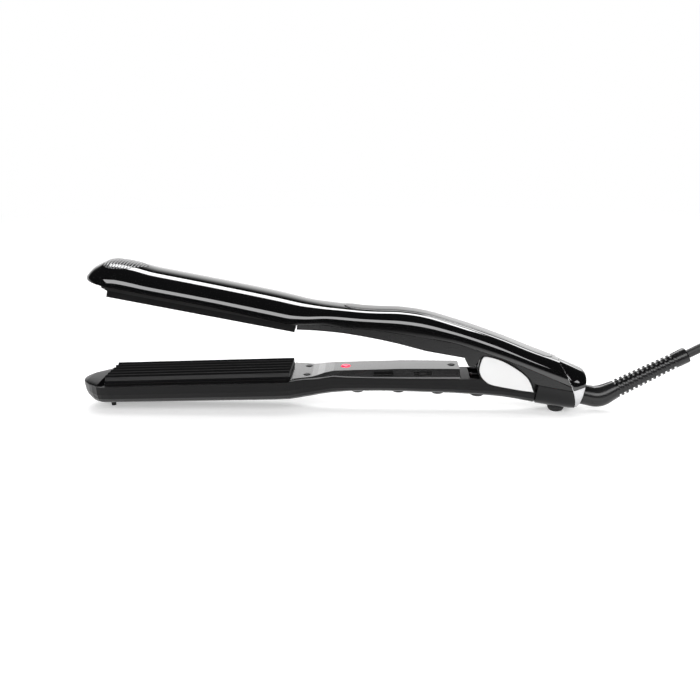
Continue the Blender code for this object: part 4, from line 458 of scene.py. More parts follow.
links.new(far.outputs["Value"], mix.inputs["Fac"])
links.new(near_mix.outputs["Shader"], mix.inputs[1])
links.new(glow.outputs["Emission"], mix.inputs[2])
# Painted dark reflection: glossy rays that meet the front of the table see a near-black surface,
# not the white table.
axes = nodes.new("ShaderNodeSeparateXYZ")
front_edge = smooth_ramp(nodes, DARK_START, DARK_END)
mirrored_edge = math_node(nodes, "MULTIPLY")
painted_dark_reflection = nodes.new("ShaderNodeBsdfDiffuse")
painted_dark_reflection.inputs["Color"].default_value = (0.02, 0.02, 0.02, 1.0)
surround = nodes.new("ShaderNodeMixShader")
links.new(place.outputs["Object"], axes.inputs["Vector"])
links.new(axes.outputs["Y"], front_edge.inputs["Value"])
links.new(front_edge.outputs["Result"], mirrored_edge.inputs[0])
links.new(path.outputs["Is Glossy Ray"], mirrored_edge.inputs[1])
links.new(mirrored_edge.outputs["Value"], surround.inputs["Fac"])
links.new(mix.outputs["Shader"], surround.inputs[1])
links.new(painted_dark_reflection.outputs["BSDF"], surround.inputs[2])
links.new(surround.outputs["Shader"], output.inputs["Surface"])
floor_mesh.materials.append(table_finish)

ROOM_LIGHT = 0.32
BACK_START = 0.55
BACK_END = 0.9
LOW_START = 0.5
LOW_END = 0.12
MIRRORED_DARK = 0.02
MIRRORED_BRIGHT = 1.6
world = bpy.data.worlds.new("white_studio")
bpy.context.scene.world = world
world.use_nodes = True
nodes, links = world.node_tree.nodes, world.node_tree.links
nodes.clear()
output = nodes.new("ShaderNodeOutputWorld")
room = nodes.new("ShaderNodeBackground")
room.inputs["Color"].default_value = (1.0, 1.0, 1.0, 1.0)
path = nodes.new("ShaderNodeLightPath")
place = nodes.new("ShaderNodeTexCoord")
axes = nodes.new("ShaderNodeSeparateXYZ")
back = smooth_ramp(nodes, BACK_START, BACK_END)
low = smooth_ramp(nodes, LOW_START, LOW_END)
both = math_node(nodes, "MULTIPLY")
mirrored = nodes.new("ShaderNodeMapRange")
mirrored.inputs["To Min"].default_value = MIRRORED_DARK
mirrored.inputs["To Max"].default_value = MIRRORED_BRIGHT
shiny = math_node(nodes, "MAXIMUM")
ambient = nodes.new("ShaderNodeMix")
ambient.data_type = "FLOAT"
ambient.inputs["A"].default_value = ROOM_LIGHT
direct = nodes.new("ShaderNodeMix")
direct.data_type = "FLOAT"
direct.inputs["B"].default_value = 1.0
links.new(place.outputs["Generated"], axes.inputs["Vector"])
links.new(axes.outputs["Y"], back.inputs["Value"])
links.new(axes.outputs["Z"], low.inputs["Value"])
links.new(back.outputs["Result"], both.inputs[0])
links.new(low.outputs["Result"], both.inputs[1])
links.new(both.outputs["Value"], mirrored.inputs["Value"])
links.new(path.outputs["Is Glossy Ray"], shiny.inputs[0])
links.new(path.outputs["Is Transmission Ray"], shiny.inputs[1])
links.new(shiny.outputs["Value"], ambient.inputs["Factor"])
links.new(mirrored.outputs["Result"], ambient.inputs["B"])
links.new(ambient.outputs["Result"], direct.inputs["A"])
links.new(path.outputs["Is Camera Ray"], direct.inputs["Factor"])
links.new(direct.outputs["Result"], room.inputs["Strength"])
links.new(room.outputs["Background"], output.inputs["Surface"])


LAMPS_AIM = Vector((0.0, 0.0, 0.06))


def softbox(name, left, right, width, watts):
    """Long soft lamp between two ends, turned to face the tool; the camera doesn't see it."""
    lamp = bpy.data.lights.new(name, "AREA")
    lamp.shape = "RECTANGLE"
    across = Vector(right) - Vector(left)
    lamp.size = across.length
    lamp.size_y = width
    lamp.energy = watts
    across.normalize()
    centre = (Vector(left) + Vector(right)) / 2
    back = centre - LAMPS_AIM
    back = (back - across * back.dot(across)).normalized()
    upright = back.cross(across)
    holder = bpy.data.objects.new(name, lamp)
    holder.matrix_world = Matrix((across, upright, back)).transposed().to_4x4()
    holder.location = centre
    holder.visible_camera = False
    bpy.context.scene.collection.objects.link(holder)
    return holder


softbox("streak_box", (-0.44, 0.70, 0.78), (0.52, 0.70, 0.78), 0.27, 6.9)
softbox("tail_streak_box", (0.24, 0.84, 0.60), (0.66, 0.96, 0.36), 0.18, 1.0)
softbox("front_box", (-0.85, -0.90, 0.46), (0.62, -0.80, 0.62), 0.42, 9.2)
softbox("top_box", (-0.50, -0.10, 1.30), (0.50, -0.10, 1.30), 0.80, 6.0).visible_glossy = False


# Upper gloss cover
# Injection-moulded shell in high-gloss black ABS, one piece from the nose to the slanted
# seam at the tail. It is 1.6 mm thick, with a solid nose.
HINGE = Vector((0.070256, 0.0, 0.02225))
UPPER_TILT = math.radians(10.55)
HANDLE_REACH = 0.1080
NECK_LENGTH = 0.0165
PLATE_LENGTH = 0.1084
NOSE_LENGTH = 0.0166
TAIL_LENGTH = 0.0465
HEAD_HALF = 0.0210
HANDLE_HALF = 0.0150
UPPER_HEIGHT = 0.0279
WALL = 0.0016
GAP = 0.0003
ARCH_POWER = 2.4
HANDLE_POWER_STEP = 0.8
HANDLE_POWER_START = -0.1240
HANDLE_POWER_REACH = 0.030
BELLY_POWER = 2.7
PLATE_REAR = -(HANDLE_REACH + NECK_LENGTH)
PLATE_FRONT = PLATE_REAR - PLATE_LENGTH
NOSE_TIP = PLATE_FRONT - NOSE_LENGTH
ZONES = {"nose": (PLATE_FRONT, NOSE_TIP), "plate": (PLATE_REAR, PLATE_FRONT),
         "neck": (-HANDLE_REACH, PLATE_REAR), "handle": (0.0, -HANDLE_REACH),
         "tail": (0.0, TAIL_LENGTH)}
WIDTHS = {"nose": HEAD_HALF, "plate": HEAD_HALF, "neck": HEAD_HALF, "handle": HANDLE_HALF,
          "tail": HANDLE_HALF}


def on_arm(x, y, z, tilt):
    """World place of a point given along an arm from the hinge axis."""
    return Vector((HINGE.x + x * math.cos(tilt) + z * math.sin(tilt), y,
                   HINGE.z + z * math.cos(tilt) - x * math.sin(tilt)))


def zone_place(zone, share):
    start, end = ZONES[zone]
    return start + share * (end - start)


def profile(shares, scale):
    """Smooth size along an arm through rows of (zone, share of the zone, share of the scale)."""
    rows = []
    for zone, along, share in shares:
        size = scale[zone] if isinstance(scale, dict) else scale
        rows.append((zone_place(zone, along), share * size))
    rows.sort()
    xs = [row[0] for row in rows]
    ys = [row[1] for row in rows]
    slopes = [(ys[i + 1] - ys[i]) / (xs[i + 1] - xs[i]) for i in range(len(xs) - 1)]
    tangents = [slopes[0]]
    for before, after in zip(slopes, slopes[1:]):
        level = before * after <= 0
        tangents.append(0.0 if level else 2 * before * after / (before + after))
    tangents.append(slopes[-1])

    def value(x):
        x = min(max(x, xs[0]), xs[-1])
        i = 0
        while i < len(xs) - 2 and x > xs[i + 1]:
            i += 1
        width = xs[i + 1] - xs[i]
        t = (x - xs[i]) / width
        return (ys[i] * (1 + 2 * t) * (1 - t) ** 2 + ys[i + 1] * t * t * (3 - 2 * t)
                + width * t * (1 - t) * (tangents[i] * (1 - t) - tangents[i + 1] * t))

    return value


def eased(source, reach):
    """The same size with its corners eased over a short reach, so that gloss shows no kinks."""
    weights = (1, 4, 7, 8, 7, 4, 1)

    def value(x):
        total = sum(weight * source(x + reach * (i - 3) / 3) for i, weight in enumerate(weights))
        return total / sum(weights)

    return value


UPPER_HALF = profile((
    ("nose", 1.0, 0.06), ("nose", 0.96, 0.22), ("nose", 0.85, 0.44), ("nose", 0.73, 0.61),
    ("nose", 0.55, 0.77), ("nose", 0.31, 0.905), ("nose", 0.07, 0.97), ("plate", 0.96, 1.0),
    ("plate", 0.2, 1.0), ("plate", 0.03, 0.98), ("neck", 0.73, 0.886), ("neck", 0.24, 0.79),
    ("handle", 0.96, 1.027), ("handle", 0.9, 1.0), ("tail", 0.3, 1.0), ("tail", 0.6, 0.985),
    ("tail", 0.9, 0.93), ("tail", 1.0, 0.84),
), WIDTHS)
UPPER_CROWN = profile((
    ("nose", 1.0, 0.44), ("nose", 0.93, 0.5), ("nose", 0.85, 0.573), ("nose", 0.73, 0.667),
    ("nose", 0.55, 0.753), ("nose", 0.31, 0.832), ("nose", 0.07, 0.867), ("plate", 0.96, 0.878),
    ("plate", 0.88, 0.867), ("plate", 0.8, 0.842), ("plate", 0.56, 0.839), ("plate", 0.18, 0.821),
    ("plate", 0.03, 0.799), ("neck", 0.73, 0.785), ("neck", 0.24, 0.792), ("handle", 0.96, 0.81),
    ("handle", 0.83, 0.853), ("handle", 0.73, 0.907), ("handle", 0.62, 0.975),
    ("handle", 0.51, 1.0), ("handle", 0.315, 0.939), ("handle", 0.074, 0.803),
    ("tail", 0.314, 0.642), ("tail", 0.58, 0.57), ("tail", 1.0, 0.412),
), UPPER_HEIGHT)
UPPER_EDGE = profile((
    ("nose", 1.0, 0.42), ("plate", 0.94, 0.444), ("plate", 0.5, 0.441), ("plate", 0.235, 0.412),
    ("plate", 0.01, 0.38), ("neck", 0.55, 0.416), ("handle", 1.0, 0.478), ("handle", 0.954, 0.465),
    ("handle", 0.75, 0.545), ("handle", 0.6, 0.573), ("handle", 0.34, 0.595),
    ("handle", 0.164, 0.52), ("tail", 0.08, 0.401), ("tail", 0.25, 0.344), ("tail", 0.52, 0.244),
    ("tail", 0.77, 0.151), ("tail", 0.88, 0.108), ("tail", 1.0, 0.1),
), UPPER_HEIGHT)
SMOOTH_HALF = eased(UPPER_HALF, 0.004)
SMOOTH_CROWN = eased(UPPER_CROWN, 0.005)
SMOOTH_EDGE = eased(UPPER_EDGE, 0.005)


NOSE_BLEND = 0.006
COVER_SIZES = ((UPPER_HALF, SMOOTH_HALF), (UPPER_EDGE, SMOOTH_EDGE), (UPPER_CROWN, SMOOTH_CROWN))


def cover_sizes(x):
    """Half-width, edge and crown of the gloss cover; the nose keeps its own round."""
    share = min(max((x - PLATE_FRONT) / NOSE_BLEND, 0.0), 1.0)
    return tuple(plain(x) + share * (smooth(x) - plain(x)) for plain, smooth in COVER_SIZES)


def cover_power(x):
    """Roundness of the cover's section: soft over the plate, squarer along the handle."""
    share = min(max((x - HANDLE_POWER_START) / HANDLE_POWER_REACH, 0.0), 1.0)
    return ARCH_POWER + HANDLE_POWER_STEP * share * share * (3 - 2 * share)


def arch(half, base, crown, power, steps):
    """Points (y, z) over a rounded arch; a crown below the base gives a belly."""
    outline = []
    for i in range(steps + 1):
        angle = math.pi * (1 - i / steps)
        across = math.cos(angle)
        rise = abs(math.sin(angle)) if 0 < i < steps else 0.0
        y = half * math.copysign(abs(across) ** (2 / power), across)
        outline.append((y, base + (crown - base) * rise ** (2 / power)))
    return outline


def arch_height(y, half, base, crown, power):
    share = min(abs(y) / half, 1.0)
    return base + (crown - base) * (1 - share**power) ** (1 / power)


COLLAR_LENGTH = 0.0027
SEAM_FOOT = -0.0107
SEAM_HEIGHT = 0.0253
SEAM_LEAN = 0.0146
SEAM_CURVE = 1.6


def seam(z):
    """Slanted seam between the arm and its end collar."""
    share = min(max((z - SEAM_FOOT) / SEAM_HEIGHT, 0.0), 1.0)
    return TAIL_LENGTH - COLLAR_LENGTH - SEAM_LEAN * share**SEAM_CURVE


gloss_finish = moulded("gloss_black_abs", (0.002, 0.002, 0.0022), (0.003, 0.003, 0.0033), 0.05,
                       spread=0.012, rub=0.03, grain=110.0, mottle=40.0, depth=0.0000004,
                       specular=1.0)


COVER_STEPS = 56
COVER_STATIONS = 240
SEAM_STATIONS = 14
NOSE_CORE_SHARE = 0.8


def cover_station(x, solid):
    """Outer and inner outline of the cover; the nose has a shallow inside."""
    half, edge, crown = cover_sizes(x)
    outer = arch(half, edge, crown, cover_power(x), COVER_STEPS)
    if solid:
        inner = arch(half * NOSE_CORE_SHARE, edge, edge - WALL / 4, ARCH_POWER, COVER_STEPS)
    else:
        inner = arch(half - WALL, edge, crown - WALL, cover_power(x), COVER_STEPS)
    return outer, inner


cover_stations = [(zone_place("nose", 1 - (i / 26) ** 1.8), True) for i in range(24)]
cover_stations += [(zone_place("nose", 0.12), False)]
front = zone_place("plate", 0.985)
rear = zone_place("tail", 0.15)
for i in range(COVER_STATIONS + 1):
    cover_stations.append((front + (rear - front) * i / COVER_STATIONS, False))
cover_runs = ([], [])
for x, solid in cover_stations:
    for run, outline in zip(cover_runs, cover_station(x, solid)):
        run.append([on_arm(x, y, z, UPPER_TILT) for y, z in outline])
for step in range(1, SEAM_STATIONS + 1):
    for index in (0, 1):
        run = []
        for j in range(COVER_STEPS + 1):
            x = rear
            for _ in range(5):
                y, z = cover_station(x, False)[index][j]
                x = rear + step / SEAM_STATIONS * (seam(z) - rear)
            run.append(on_arm(x, y, z, UPPER_TILT))
        cover_runs[index].append(run)
band("gloss_cover", cover_runs[0], cover_runs[1], gloss_finish, "upper_arm",
     ("upper_cover",), closed=False)


# Tip inlay
# Leaf-shaped plate of silver-grey plastic let into the top of the nose, with fine cross
# ribs for the fingertip. It is left without marks. A thin near-black sheet round it is painted
# shade for the shadow in the joint's gap.
def surface_point(x, y, lift):
    half, edge, crown = cover_sizes(x)
    return on_arm(x, y, arch_height(y, half, edge, crown, cover_power(x)) + lift, UPPER_TILT)


JOINT_DEPTH = 0.0004


def gap_shade_line(name, rows, width, lift):
    """Thin near-black sheet on the cover round a patch given by rows of (x, half-width): painted
    shade standing for the shadow in the joint's gap.
    """
    near = [(x, -half) for x, half in rows]
    outline = near + [(x, -y) for x, y in reversed(near)]
    count = len(outline)
    rings = []
    for offset, height in ((0.0, lift - JOINT_DEPTH), (0.0, lift), (width, lift),
                           (width, lift - JOINT_DEPTH)):
        ring = []
        for i, (x, y) in enumerate(outline):
            along = Vector(outline[(i + 1) % count]) - Vector(outline[i - 1])
            away = Vector((along.y, -along.x)).normalized() * offset
            ring.append(surface_point(x + away.x, y + away.y, height))
        rings.append(ring)
    points = [point for ring in rings for point in ring]
    faces = []
    for i in range(4):
        for j in range(count):
            k = (j + 1) % count
            m = (i + 1) % 4
            faces.append((i * count + j, i * count + k, m * count + k, m * count + j))
    return make_piece(name, points, faces, gap_shade_finish, "upper_arm")


# Near-black finish for the joint sheets: painted shade for the gap round each inlay, which is not
# cut into the cover.
gap_shade_finish = moulded("joint_shadow", (0.001, 0.001, 0.001), (0.002, 0.002, 0.002), 0.8, rub=0.05)
LEAF_ROWS = (
    (0.36, 0.3), (0.31, 0.5), (0.18, 0.63), (-0.02, 0.68), (-0.27, 0.66), (-0.52, 0.56),
    (-0.72, 0.4), (-0.92, 0.2), (-1.05, 0.06),
)
LEAF_STEPS = 24
TIP_RIB_PITCH = 0.00165
TIP_RIB_HEIGHT = 0.0004
TIP_RIB_ROUND = 0.6
TIP_SUNK = 0.00022
TIP_RIM = 0.0006
INLAY_DEPTH = 0.0006
leaf_knots = [(PLATE_FRONT - a * NOSE_LENGTH, w * HEAD_HALF, 0.0) for a, w in LEAF_ROWS]
leaf_curve = smooth_route(leaf_knots, 28)
leaf_rows = [(point.x, point.y) for point in leaf_curve]
rib_finish = moulded("tip_ribs_silver", (0.13, 0.13, 0.133), (0.2, 0.2, 0.204), 0.3, rub=0.1,
                     grain=1500.0, mottle=150.0, depth=0.00001, metallic=0.3)
rings = []
for x, half in leaf_rows:
    top, bottom = [], []
    wave = 0.5 + 0.5 * math.cos(2 * math.pi * (x - PLATE_FRONT) / TIP_RIB_PITCH)
    ridge = TIP_RIB_HEIGHT * wave**TIP_RIB_ROUND
    for j in range(LEAF_STEPS + 1):
        share = 2 * j / LEAF_STEPS - 1
        inside = min((1 - abs(share)) * half / TIP_RIM, 1.0)
        top.append(surface_point(x, share * half, (ridge - TIP_SUNK) * inside))
        bottom.append(surface_point(x, share * half, -INLAY_DEPTH))
    rings.append(top + bottom[::-1])
loft("tip_rib_plate", rings, rib_finish, "upper_arm", ("tip_inlay",), 60.0)
# Painted shade: a near-black sheet round the tip inlay stands for the shadow in its joint.
gap_shade_line("tip_gap_shade", leaf_rows[::4] + [leaf_rows[-1]], 0.00032, 0.00004)


# Handle inlay
# Separate gloss black strip along the top of the handle, clipped in from above. It stands
# a little proud with rounded edges, which shows as a step at its front end.
STRIP_PROUD = 0.0002
STRIP_STEP = 0.0004
STRIP_STEP_REACH = 0.009
STRIP_ROUNDING = 0.0009
STRIP_STEPS = 32
STRIP_STATIONS = 200
STRIP_END_STATIONS = 12
STRIP_END_SHARE = 0.06
strip_front = zone_place("handle", 0.92)
strip_rear = zone_place("tail", 0.55)
strip_half = 0.45 * HANDLE_HALF
strip_straight = strip_rear - strip_front - 2 * strip_half
front_end, straight, rear_end = [], [], []
for i in range(STRIP_END_STATIONS + 1):
    angle = math.pi / 2 * i / STRIP_END_STATIONS
    along, across = math.cos(angle), math.sin(angle)
    front_end.append((strip_front + strip_half * (1 - along),
                      strip_half * max(across, STRIP_END_SHARE)))
    rear_end.append((strip_rear - strip_half * (1 - across),
                     strip_half * max(along, STRIP_END_SHARE)))
for i in range(1, STRIP_STATIONS):
    x = strip_front + strip_half + i / STRIP_STATIONS * strip_straight
    straight.append((x, strip_half))
strip_rows = front_end + straight + rear_end
rings = []
for x, half in strip_rows:
    top, bottom = [], []
    near_end = min(x - strip_front, strip_rear - x)
    proud = STRIP_PROUD + STRIP_STEP * math.exp(-(((x - strip_front) / STRIP_STEP_REACH) ** 2))
    for j in range(STRIP_STEPS + 1):
        share = math.sin(math.pi / 2 * (2 * j / STRIP_STEPS - 1))
        side = (1 - abs(share)) * half
        soft = min(min(side, near_end) / STRIP_ROUNDING, 1.0)
        lift = proud * math.sqrt(max(1 - (1 - soft) ** 2, 0.0))
        top.append(surface_point(x, share * half, lift))
        bottom.append(surface_point(x, share * half, -INLAY_DEPTH))
    rings.append(top + bottom[::-1])
loft("handle_strip", rings, gloss_finish, "upper_arm", ("handle_inlay",), 60.0)
# Painted shade: a near-black sheet round the strip stands for the shadow in its joint.
gap_shade_line("strip_gap_shade", strip_rows, 0.00025, 0.00003)


# Upper under-frame, tail housing and collar
# The under-frame and the tail housing are satin black nylon. The collar has a gloss cap
# above and a silver-lacquered band below, and closes the tail behind the slanted seam.
satin_finish = moulded("satin_black_nylon", (0.004, 0.004, 0.0043), (0.007, 0.007, 0.0073), 0.26,
                       grain=2600.0, mottle=70.0, depth=0.000012, specular=0.45)
dress(satin_finish, "upper_frame")
TAIL_BELLY = profile((
    ("tail", 0.4, -0.457), ("tail", 0.7, -0.443), ("tail", 0.92, -0.427), ("tail", 1.0, -0.387),
), UPPER_HEIGHT)
TAIL_STEPS = 36
TAIL_SPLIT = 0.0010
TAIL_EDGE = 0.0003
HOUSING_START = 0.0192
HOUSING_LEAN = 0.24
HOUSING_BEND = 0.0047
HOUSING_SIDE_GAP = 0.0004


def tail_front(z):
    """Front edge of the housing, which leans back below its bend."""
    return HOUSING_START + HOUSING_LEAN * max(-z - HOUSING_BEND, 0.0)


def housing_run(share, wall):
    run = []
    for j in range(TAIL_STEPS + 1):
        x = HOUSING_START + share * (TAIL_LENGTH - HOUSING_START)
        for _ in range(5):
            half = UPPER_HALF(x) - HOUSING_SIDE_GAP - wall
            y, z = arch(half, TAIL_SPLIT - GAP, TAIL_BELLY(x) + wall, BELLY_POWER, TAIL_STEPS)[j]
            x = tail_front(z) + share * (seam(z) - tail_front(z))
        run.append(on_arm(x, y, z, UPPER_TILT))
    return run


housing_finish = moulded("tail_black_nylon", (0.003, 0.003, 0.0035), (0.005, 0.005, 0.0055), 0.16,
                         spread=0.04, grain=2600.0, mottle=70.0, depth=0.000008, specular=0.25)
housing_shares = [0.0] + [0.02 + 0.96 * i / 16 for i in range(17)] + [1.0]
housing_edges = [TAIL_EDGE if share in (0.0, 1.0) else 0.0 for share in housing_shares]
band("tail_shell", [housing_run(s, edge) for s, edge in zip(housing_shares, housing_edges)],
     [housing_run(s, WALL) for s in housing_shares], housing_finish, "upper_arm",
     ("tail_housing",), closed=False)
BAND_RISE = 0.0037
BAND_RISE_LENGTH = 0.0072
END_DROP = 0.0012
END_DEPTH = 0.0117
CAP_SIDE_GAP = 0.0002
CAP_FLOOR_GAP = 0.0013
BAND_WALL = 0.0010


def band_edge(x):
    """Upper edge of the silver band, which rises towards the end face."""
    share = min(max((x - TAIL_LENGTH) / BAND_RISE_LENGTH + 1, 0.0), 1.0)
    return TAIL_SPLIT + BAND_RISE * share


def end_face(z):
    """End of the collar, which curves forward below the split."""
    depth = max(TAIL_SPLIT - z, 0.0) / END_DEPTH
    return TAIL_LENGTH - END_DROP * depth**2


def collar_run(share, upper, wall):
    """Half of the collar's outline at a share of the way from the seam to the end face."""
    run = []
    for j in range(TAIL_STEPS + 1):
        x = TAIL_LENGTH - COLLAR_LENGTH
        for _ in range(5):
            crown = UPPER_CROWN(x) if upper else TAIL_BELLY(x)
            edge = band_edge(x) + (GAP / 2 if upper else -GAP / 2)
            depth = crown + (-wall if upper else wall)
            power = ARCH_POWER if upper else BELLY_POWER
            half = UPPER_HALF(x) - CAP_SIDE_GAP - wall
            y, z = arch(half, edge, depth, power, TAIL_STEPS)[j]
            start = seam(z) + GAP
            x = start + share * (end_face(z) - start)
        run.append(on_arm(x, y, z, UPPER_TILT))
    return run


collar_shares = (0.0, 0.015, 0.04, 0.15, 0.3, 0.45, 0.6, 0.75, 0.86, 0.91, 0.95, 0.98, 1.0)
collar_insets = (0.00025, 0.00006) + (0.0,) * 7 + (0.00007, 0.00025, 0.0006, 0.0011)
cap_rings = []
for share, inset in zip(collar_shares, collar_insets):
    upper = collar_run(share, True, inset)
    lower = collar_run(share, False, CAP_FLOOR_GAP + inset)
    cap_rings.append(upper + lower[::-1])
loft("collar_cap", cap_rings, gloss_finish, "upper_arm", ("end_cap",))
silver_finish = moulded("silver_lacquer", (0.56, 0.56, 0.57), (0.66, 0.66, 0.67), 0.26, spread=0.04,
                        rub=0.12, grain=2400.0, mottle=120.0, depth=0.000006, metallic=0.75)
band("silver_collar",
     [collar_run(share, False, inset / 2) for share, inset in zip(collar_shares, collar_insets)],
     [collar_run(share, False, BAND_WALL) for share in collar_shares], silver_finish,
     "upper_arm", ("collar_band",), closed=False)


def seam_run(offset, inset):
    """Outline of the arm at the seam, all the way round."""
    upper, lower = [], []
    for run, top in ((upper, True), (lower, False)):
        for j in range(TAIL_STEPS + 1):
            x = TAIL_LENGTH - COLLAR_LENGTH
            for _ in range(5):
                crown = UPPER_CROWN(x) if top else TAIL_BELLY(x)
                depth = crown + (-inset if top else inset)
                power = ARCH_POWER if top else BELLY_POWER
                y, z = arch(UPPER_HALF(x) - inset, TAIL_SPLIT, depth, power, TAIL_STEPS)[j]
                x = seam(z) + offset
            run.append(on_arm(x, y, z, UPPER_TILT))
    return upper[:-1] + lower[::-1][:-1]


RING_EDGES = (0.00001, 0.00029)
RING_OUTER_INSET = 0.00005
RING_INNER_INSET = 0.0009
band("seam_ring", [seam_run(edge, RING_OUTER_INSET) for edge in RING_EDGES],
     [seam_run(edge, RING_INNER_INSET) for edge in RING_EDGES], silver_finish, "upper_arm")


# Plates and their carriers
# Two ribbed aluminium castings with a dark ceramic coat, each clipped into a carrier of
# black heat-proof nylon. The ribs mesh when the jaws close.
plate_finish = moulded("ceramic_coat", (0.002, 0.002, 0.0023), (0.004, 0.004, 0.0043), 0.36,
                       spread=0.06, rub=0.15, grain=1600.0, mottle=110.0, depth=0.00001,
                       specular=0.18)
carrier_finish = moulded("heatproof_nylon", (0.003, 0.003, 0.003), (0.005, 0.005, 0.005), 0.4,
                         spread=0.06, rub=0.06, grain=2200.0, mottle=90.0, specular=0.35)
dress(plate_finish, "upper_plate", "lower_plate")
dress(carrier_finish, "upper_carrier", "lower_carrier")


# Feet, tip bumper and grip pads
# Soft black rubber: a small peg under each nose, a dome under the tail, and four oval
# pads along the underside of the lower arm.
rubber_finish = moulded("black_rubber", (0.006, 0.006, 0.006), (0.012, 0.012, 0.012), 0.62,
                        spread=0.08, rub=0.06, grain=1900.0, mottle=150.0, depth=0.00004)
dress(rubber_finish, "front_foot", "tip_bumper", "rear_foot", "grip_pad_1", "grip_pad_2",
      "grip_pad_3", "grip_pad_4")


# Cord boot
# One soft PVC moulding: a neck that turns in the end cap, a thick elbow, and a sleeve with
# slots above and below between its ribs, so that it bends. It ends in a plain collar.
BOOT_LEVEL = -0.0034
BOOT_STRAIGHT = 0.0080
BOOT_BEND_RADIUS = 0.0120
BOOT_RISE = math.radians(28.5)
BOOT_BEND_LENGTH = BOOT_BEND_RADIUS * (BOOT_RISE + UPPER_TILT)
BOOT_LENGTH = BOOT_STRAIGHT + BOOT_BEND_LENGTH + 0.0520
BOOT_SIDES = 56
BUSH_START = -0.0045
BUSH_END = -0.0029
BUSH_RADIUS = 0.0046
NECK_RADIUS = 0.0036
NECK_END = 0.0003
ELBOW_START = 0.0010
ELBOW_RADIUS = 0.0060
ELBOW_BULGE = 0.0004
ELBOW_BULGE_REACH = 0.0045
ELBOW_FALL = 0.0006
ELBOW_STATIONS = 24
ELBOW_END_GAP = 0.0014
RIB_START = 0.0236
RIB_PITCH = 0.0029
RIB_COUNT = 13
RIB_RADIUS = 0.0054
RIB_TAPER = 0.0008
SLOT_DEPTH = 0.0018
SLOT_SHARE = 0.38
SLOT_FLANK_START = 0.55
SLOT_FLANK_WIDTH = 0.08
WEB_INSET = 0.00012
RIB_EDGE = 0.00015
TIP_RADIUS = 0.0047
CORD_HOLE_RADIUS = 0.0028


def boot_point(s):
    """Place and heading of the boot's middle at a distance from the end face."""
    start = on_arm(TAIL_LENGTH, 0.0, BOOT_LEVEL, UPPER_TILT)
    heading = -UPPER_TILT
    first = min(s, BOOT_STRAIGHT)
    x, z = start.x + first * math.cos(heading), start.z + first * math.sin(heading)
    turn = min(max(s - BOOT_STRAIGHT, 0.0), BOOT_BEND_LENGTH) / BOOT_BEND_RADIUS
    x += BOOT_BEND_RADIUS * (math.sin(heading + turn) - math.sin(heading))
    z += BOOT_BEND_RADIUS * (math.cos(heading) - math.cos(heading + turn))
    heading += turn
    rest = max(s - BOOT_STRAIGHT - BOOT_BEND_LENGTH, 0.0)
    return x + rest * math.cos(heading), z + rest * math.sin(heading), heading


def boot_ring(s, radius, groove=0.0):
    """Section of the boot; a groove is cut above and below and leaves a web on each side."""
    x, z, heading = boot_point(s)
    ring = []
    for i in range(BOOT_SIDES):
        angle = 2 * math.pi * (i + 0.5) / BOOT_SIDES
        share = (abs(math.sin(angle)) - SLOT_FLANK_START) / SLOT_FLANK_WIDTH
        cut = groove * min(max(share, 0.0), 1.0) + WEB_INSET * (groove > 0)
        reach = radius - cut
        side = reach * math.sin(angle)
        ring.append((x - side * math.sin(heading), reach * math.cos(angle),
                     z + side * math.cos(heading)))
    return ring


boot_finish = moulded("boot_pvc", (0.005, 0.005, 0.0055), (0.009, 0.009, 0.0095), 0.24,
                      grain=2000.0, mottle=90.0)
boot_rings = [boot_ring(BUSH_START, BUSH_RADIUS), boot_ring(BUSH_END, BUSH_RADIUS),
              boot_ring(BUSH_END, NECK_RADIUS), boot_ring(NECK_END, NECK_RADIUS),
              boot_ring(NECK_END, ELBOW_RADIUS - ELBOW_FALL),
              boot_ring(NECK_END + 0.0002, ELBOW_RADIUS - 0.0002),
              boot_ring(ELBOW_START, ELBOW_RADIUS)]
elbow_end = BOOT_STRAIGHT + BOOT_BEND_LENGTH
elbow_middle = BOOT_STRAIGHT + BOOT_BEND_LENGTH / 2
elbow_run = RIB_START - ELBOW_END_GAP - ELBOW_START
for i in range(1, ELBOW_STATIONS + 1):
    s = ELBOW_START + elbow_run * i / ELBOW_STATIONS
    bulge = math.exp(-(((s - elbow_middle) / ELBOW_BULGE_REACH) ** 2))
    fall = min(max((s - elbow_end) / 0.006, 0.0), 1.0)
    boot_rings.append(boot_ring(s, ELBOW_RADIUS + ELBOW_BULGE * bulge - ELBOW_FALL * fall))
for i in range(RIB_COUNT):
    radius = RIB_RADIUS - RIB_TAPER * i / (RIB_COUNT - 1)
    start = RIB_START + i * RIB_PITCH
    slot_end = start + RIB_PITCH * SLOT_SHARE
    boot_rings += [boot_ring(start - 0.0002, radius - RIB_EDGE),
                   boot_ring(start, radius, SLOT_DEPTH), boot_ring(slot_end, radius, SLOT_DEPTH),
                   boot_ring(slot_end + 0.00005, radius - RIB_EDGE),
                   boot_ring(start + RIB_PITCH * 0.48, radius),
                   boot_ring(start + RIB_PITCH * 0.88, radius)]
last = RIB_START + RIB_COUNT * RIB_PITCH
boot_rings += [boot_ring(last, TIP_RADIUS - 0.0002), boot_ring(last + 0.0002, TIP_RADIUS),
               boot_ring(BOOT_LENGTH - 0.0008, TIP_RADIUS),
               boot_ring(BOOT_LENGTH - 0.0003, TIP_RADIUS - 0.0002),
               boot_ring(BOOT_LENGTH, TIP_RADIUS - 0.0007),
               boot_ring(BOOT_LENGTH, CORD_HOLE_RADIUS)]
loft("bent_boot", boot_rings, boot_finish, "upper_arm", ("cord_boot",), 35.0)


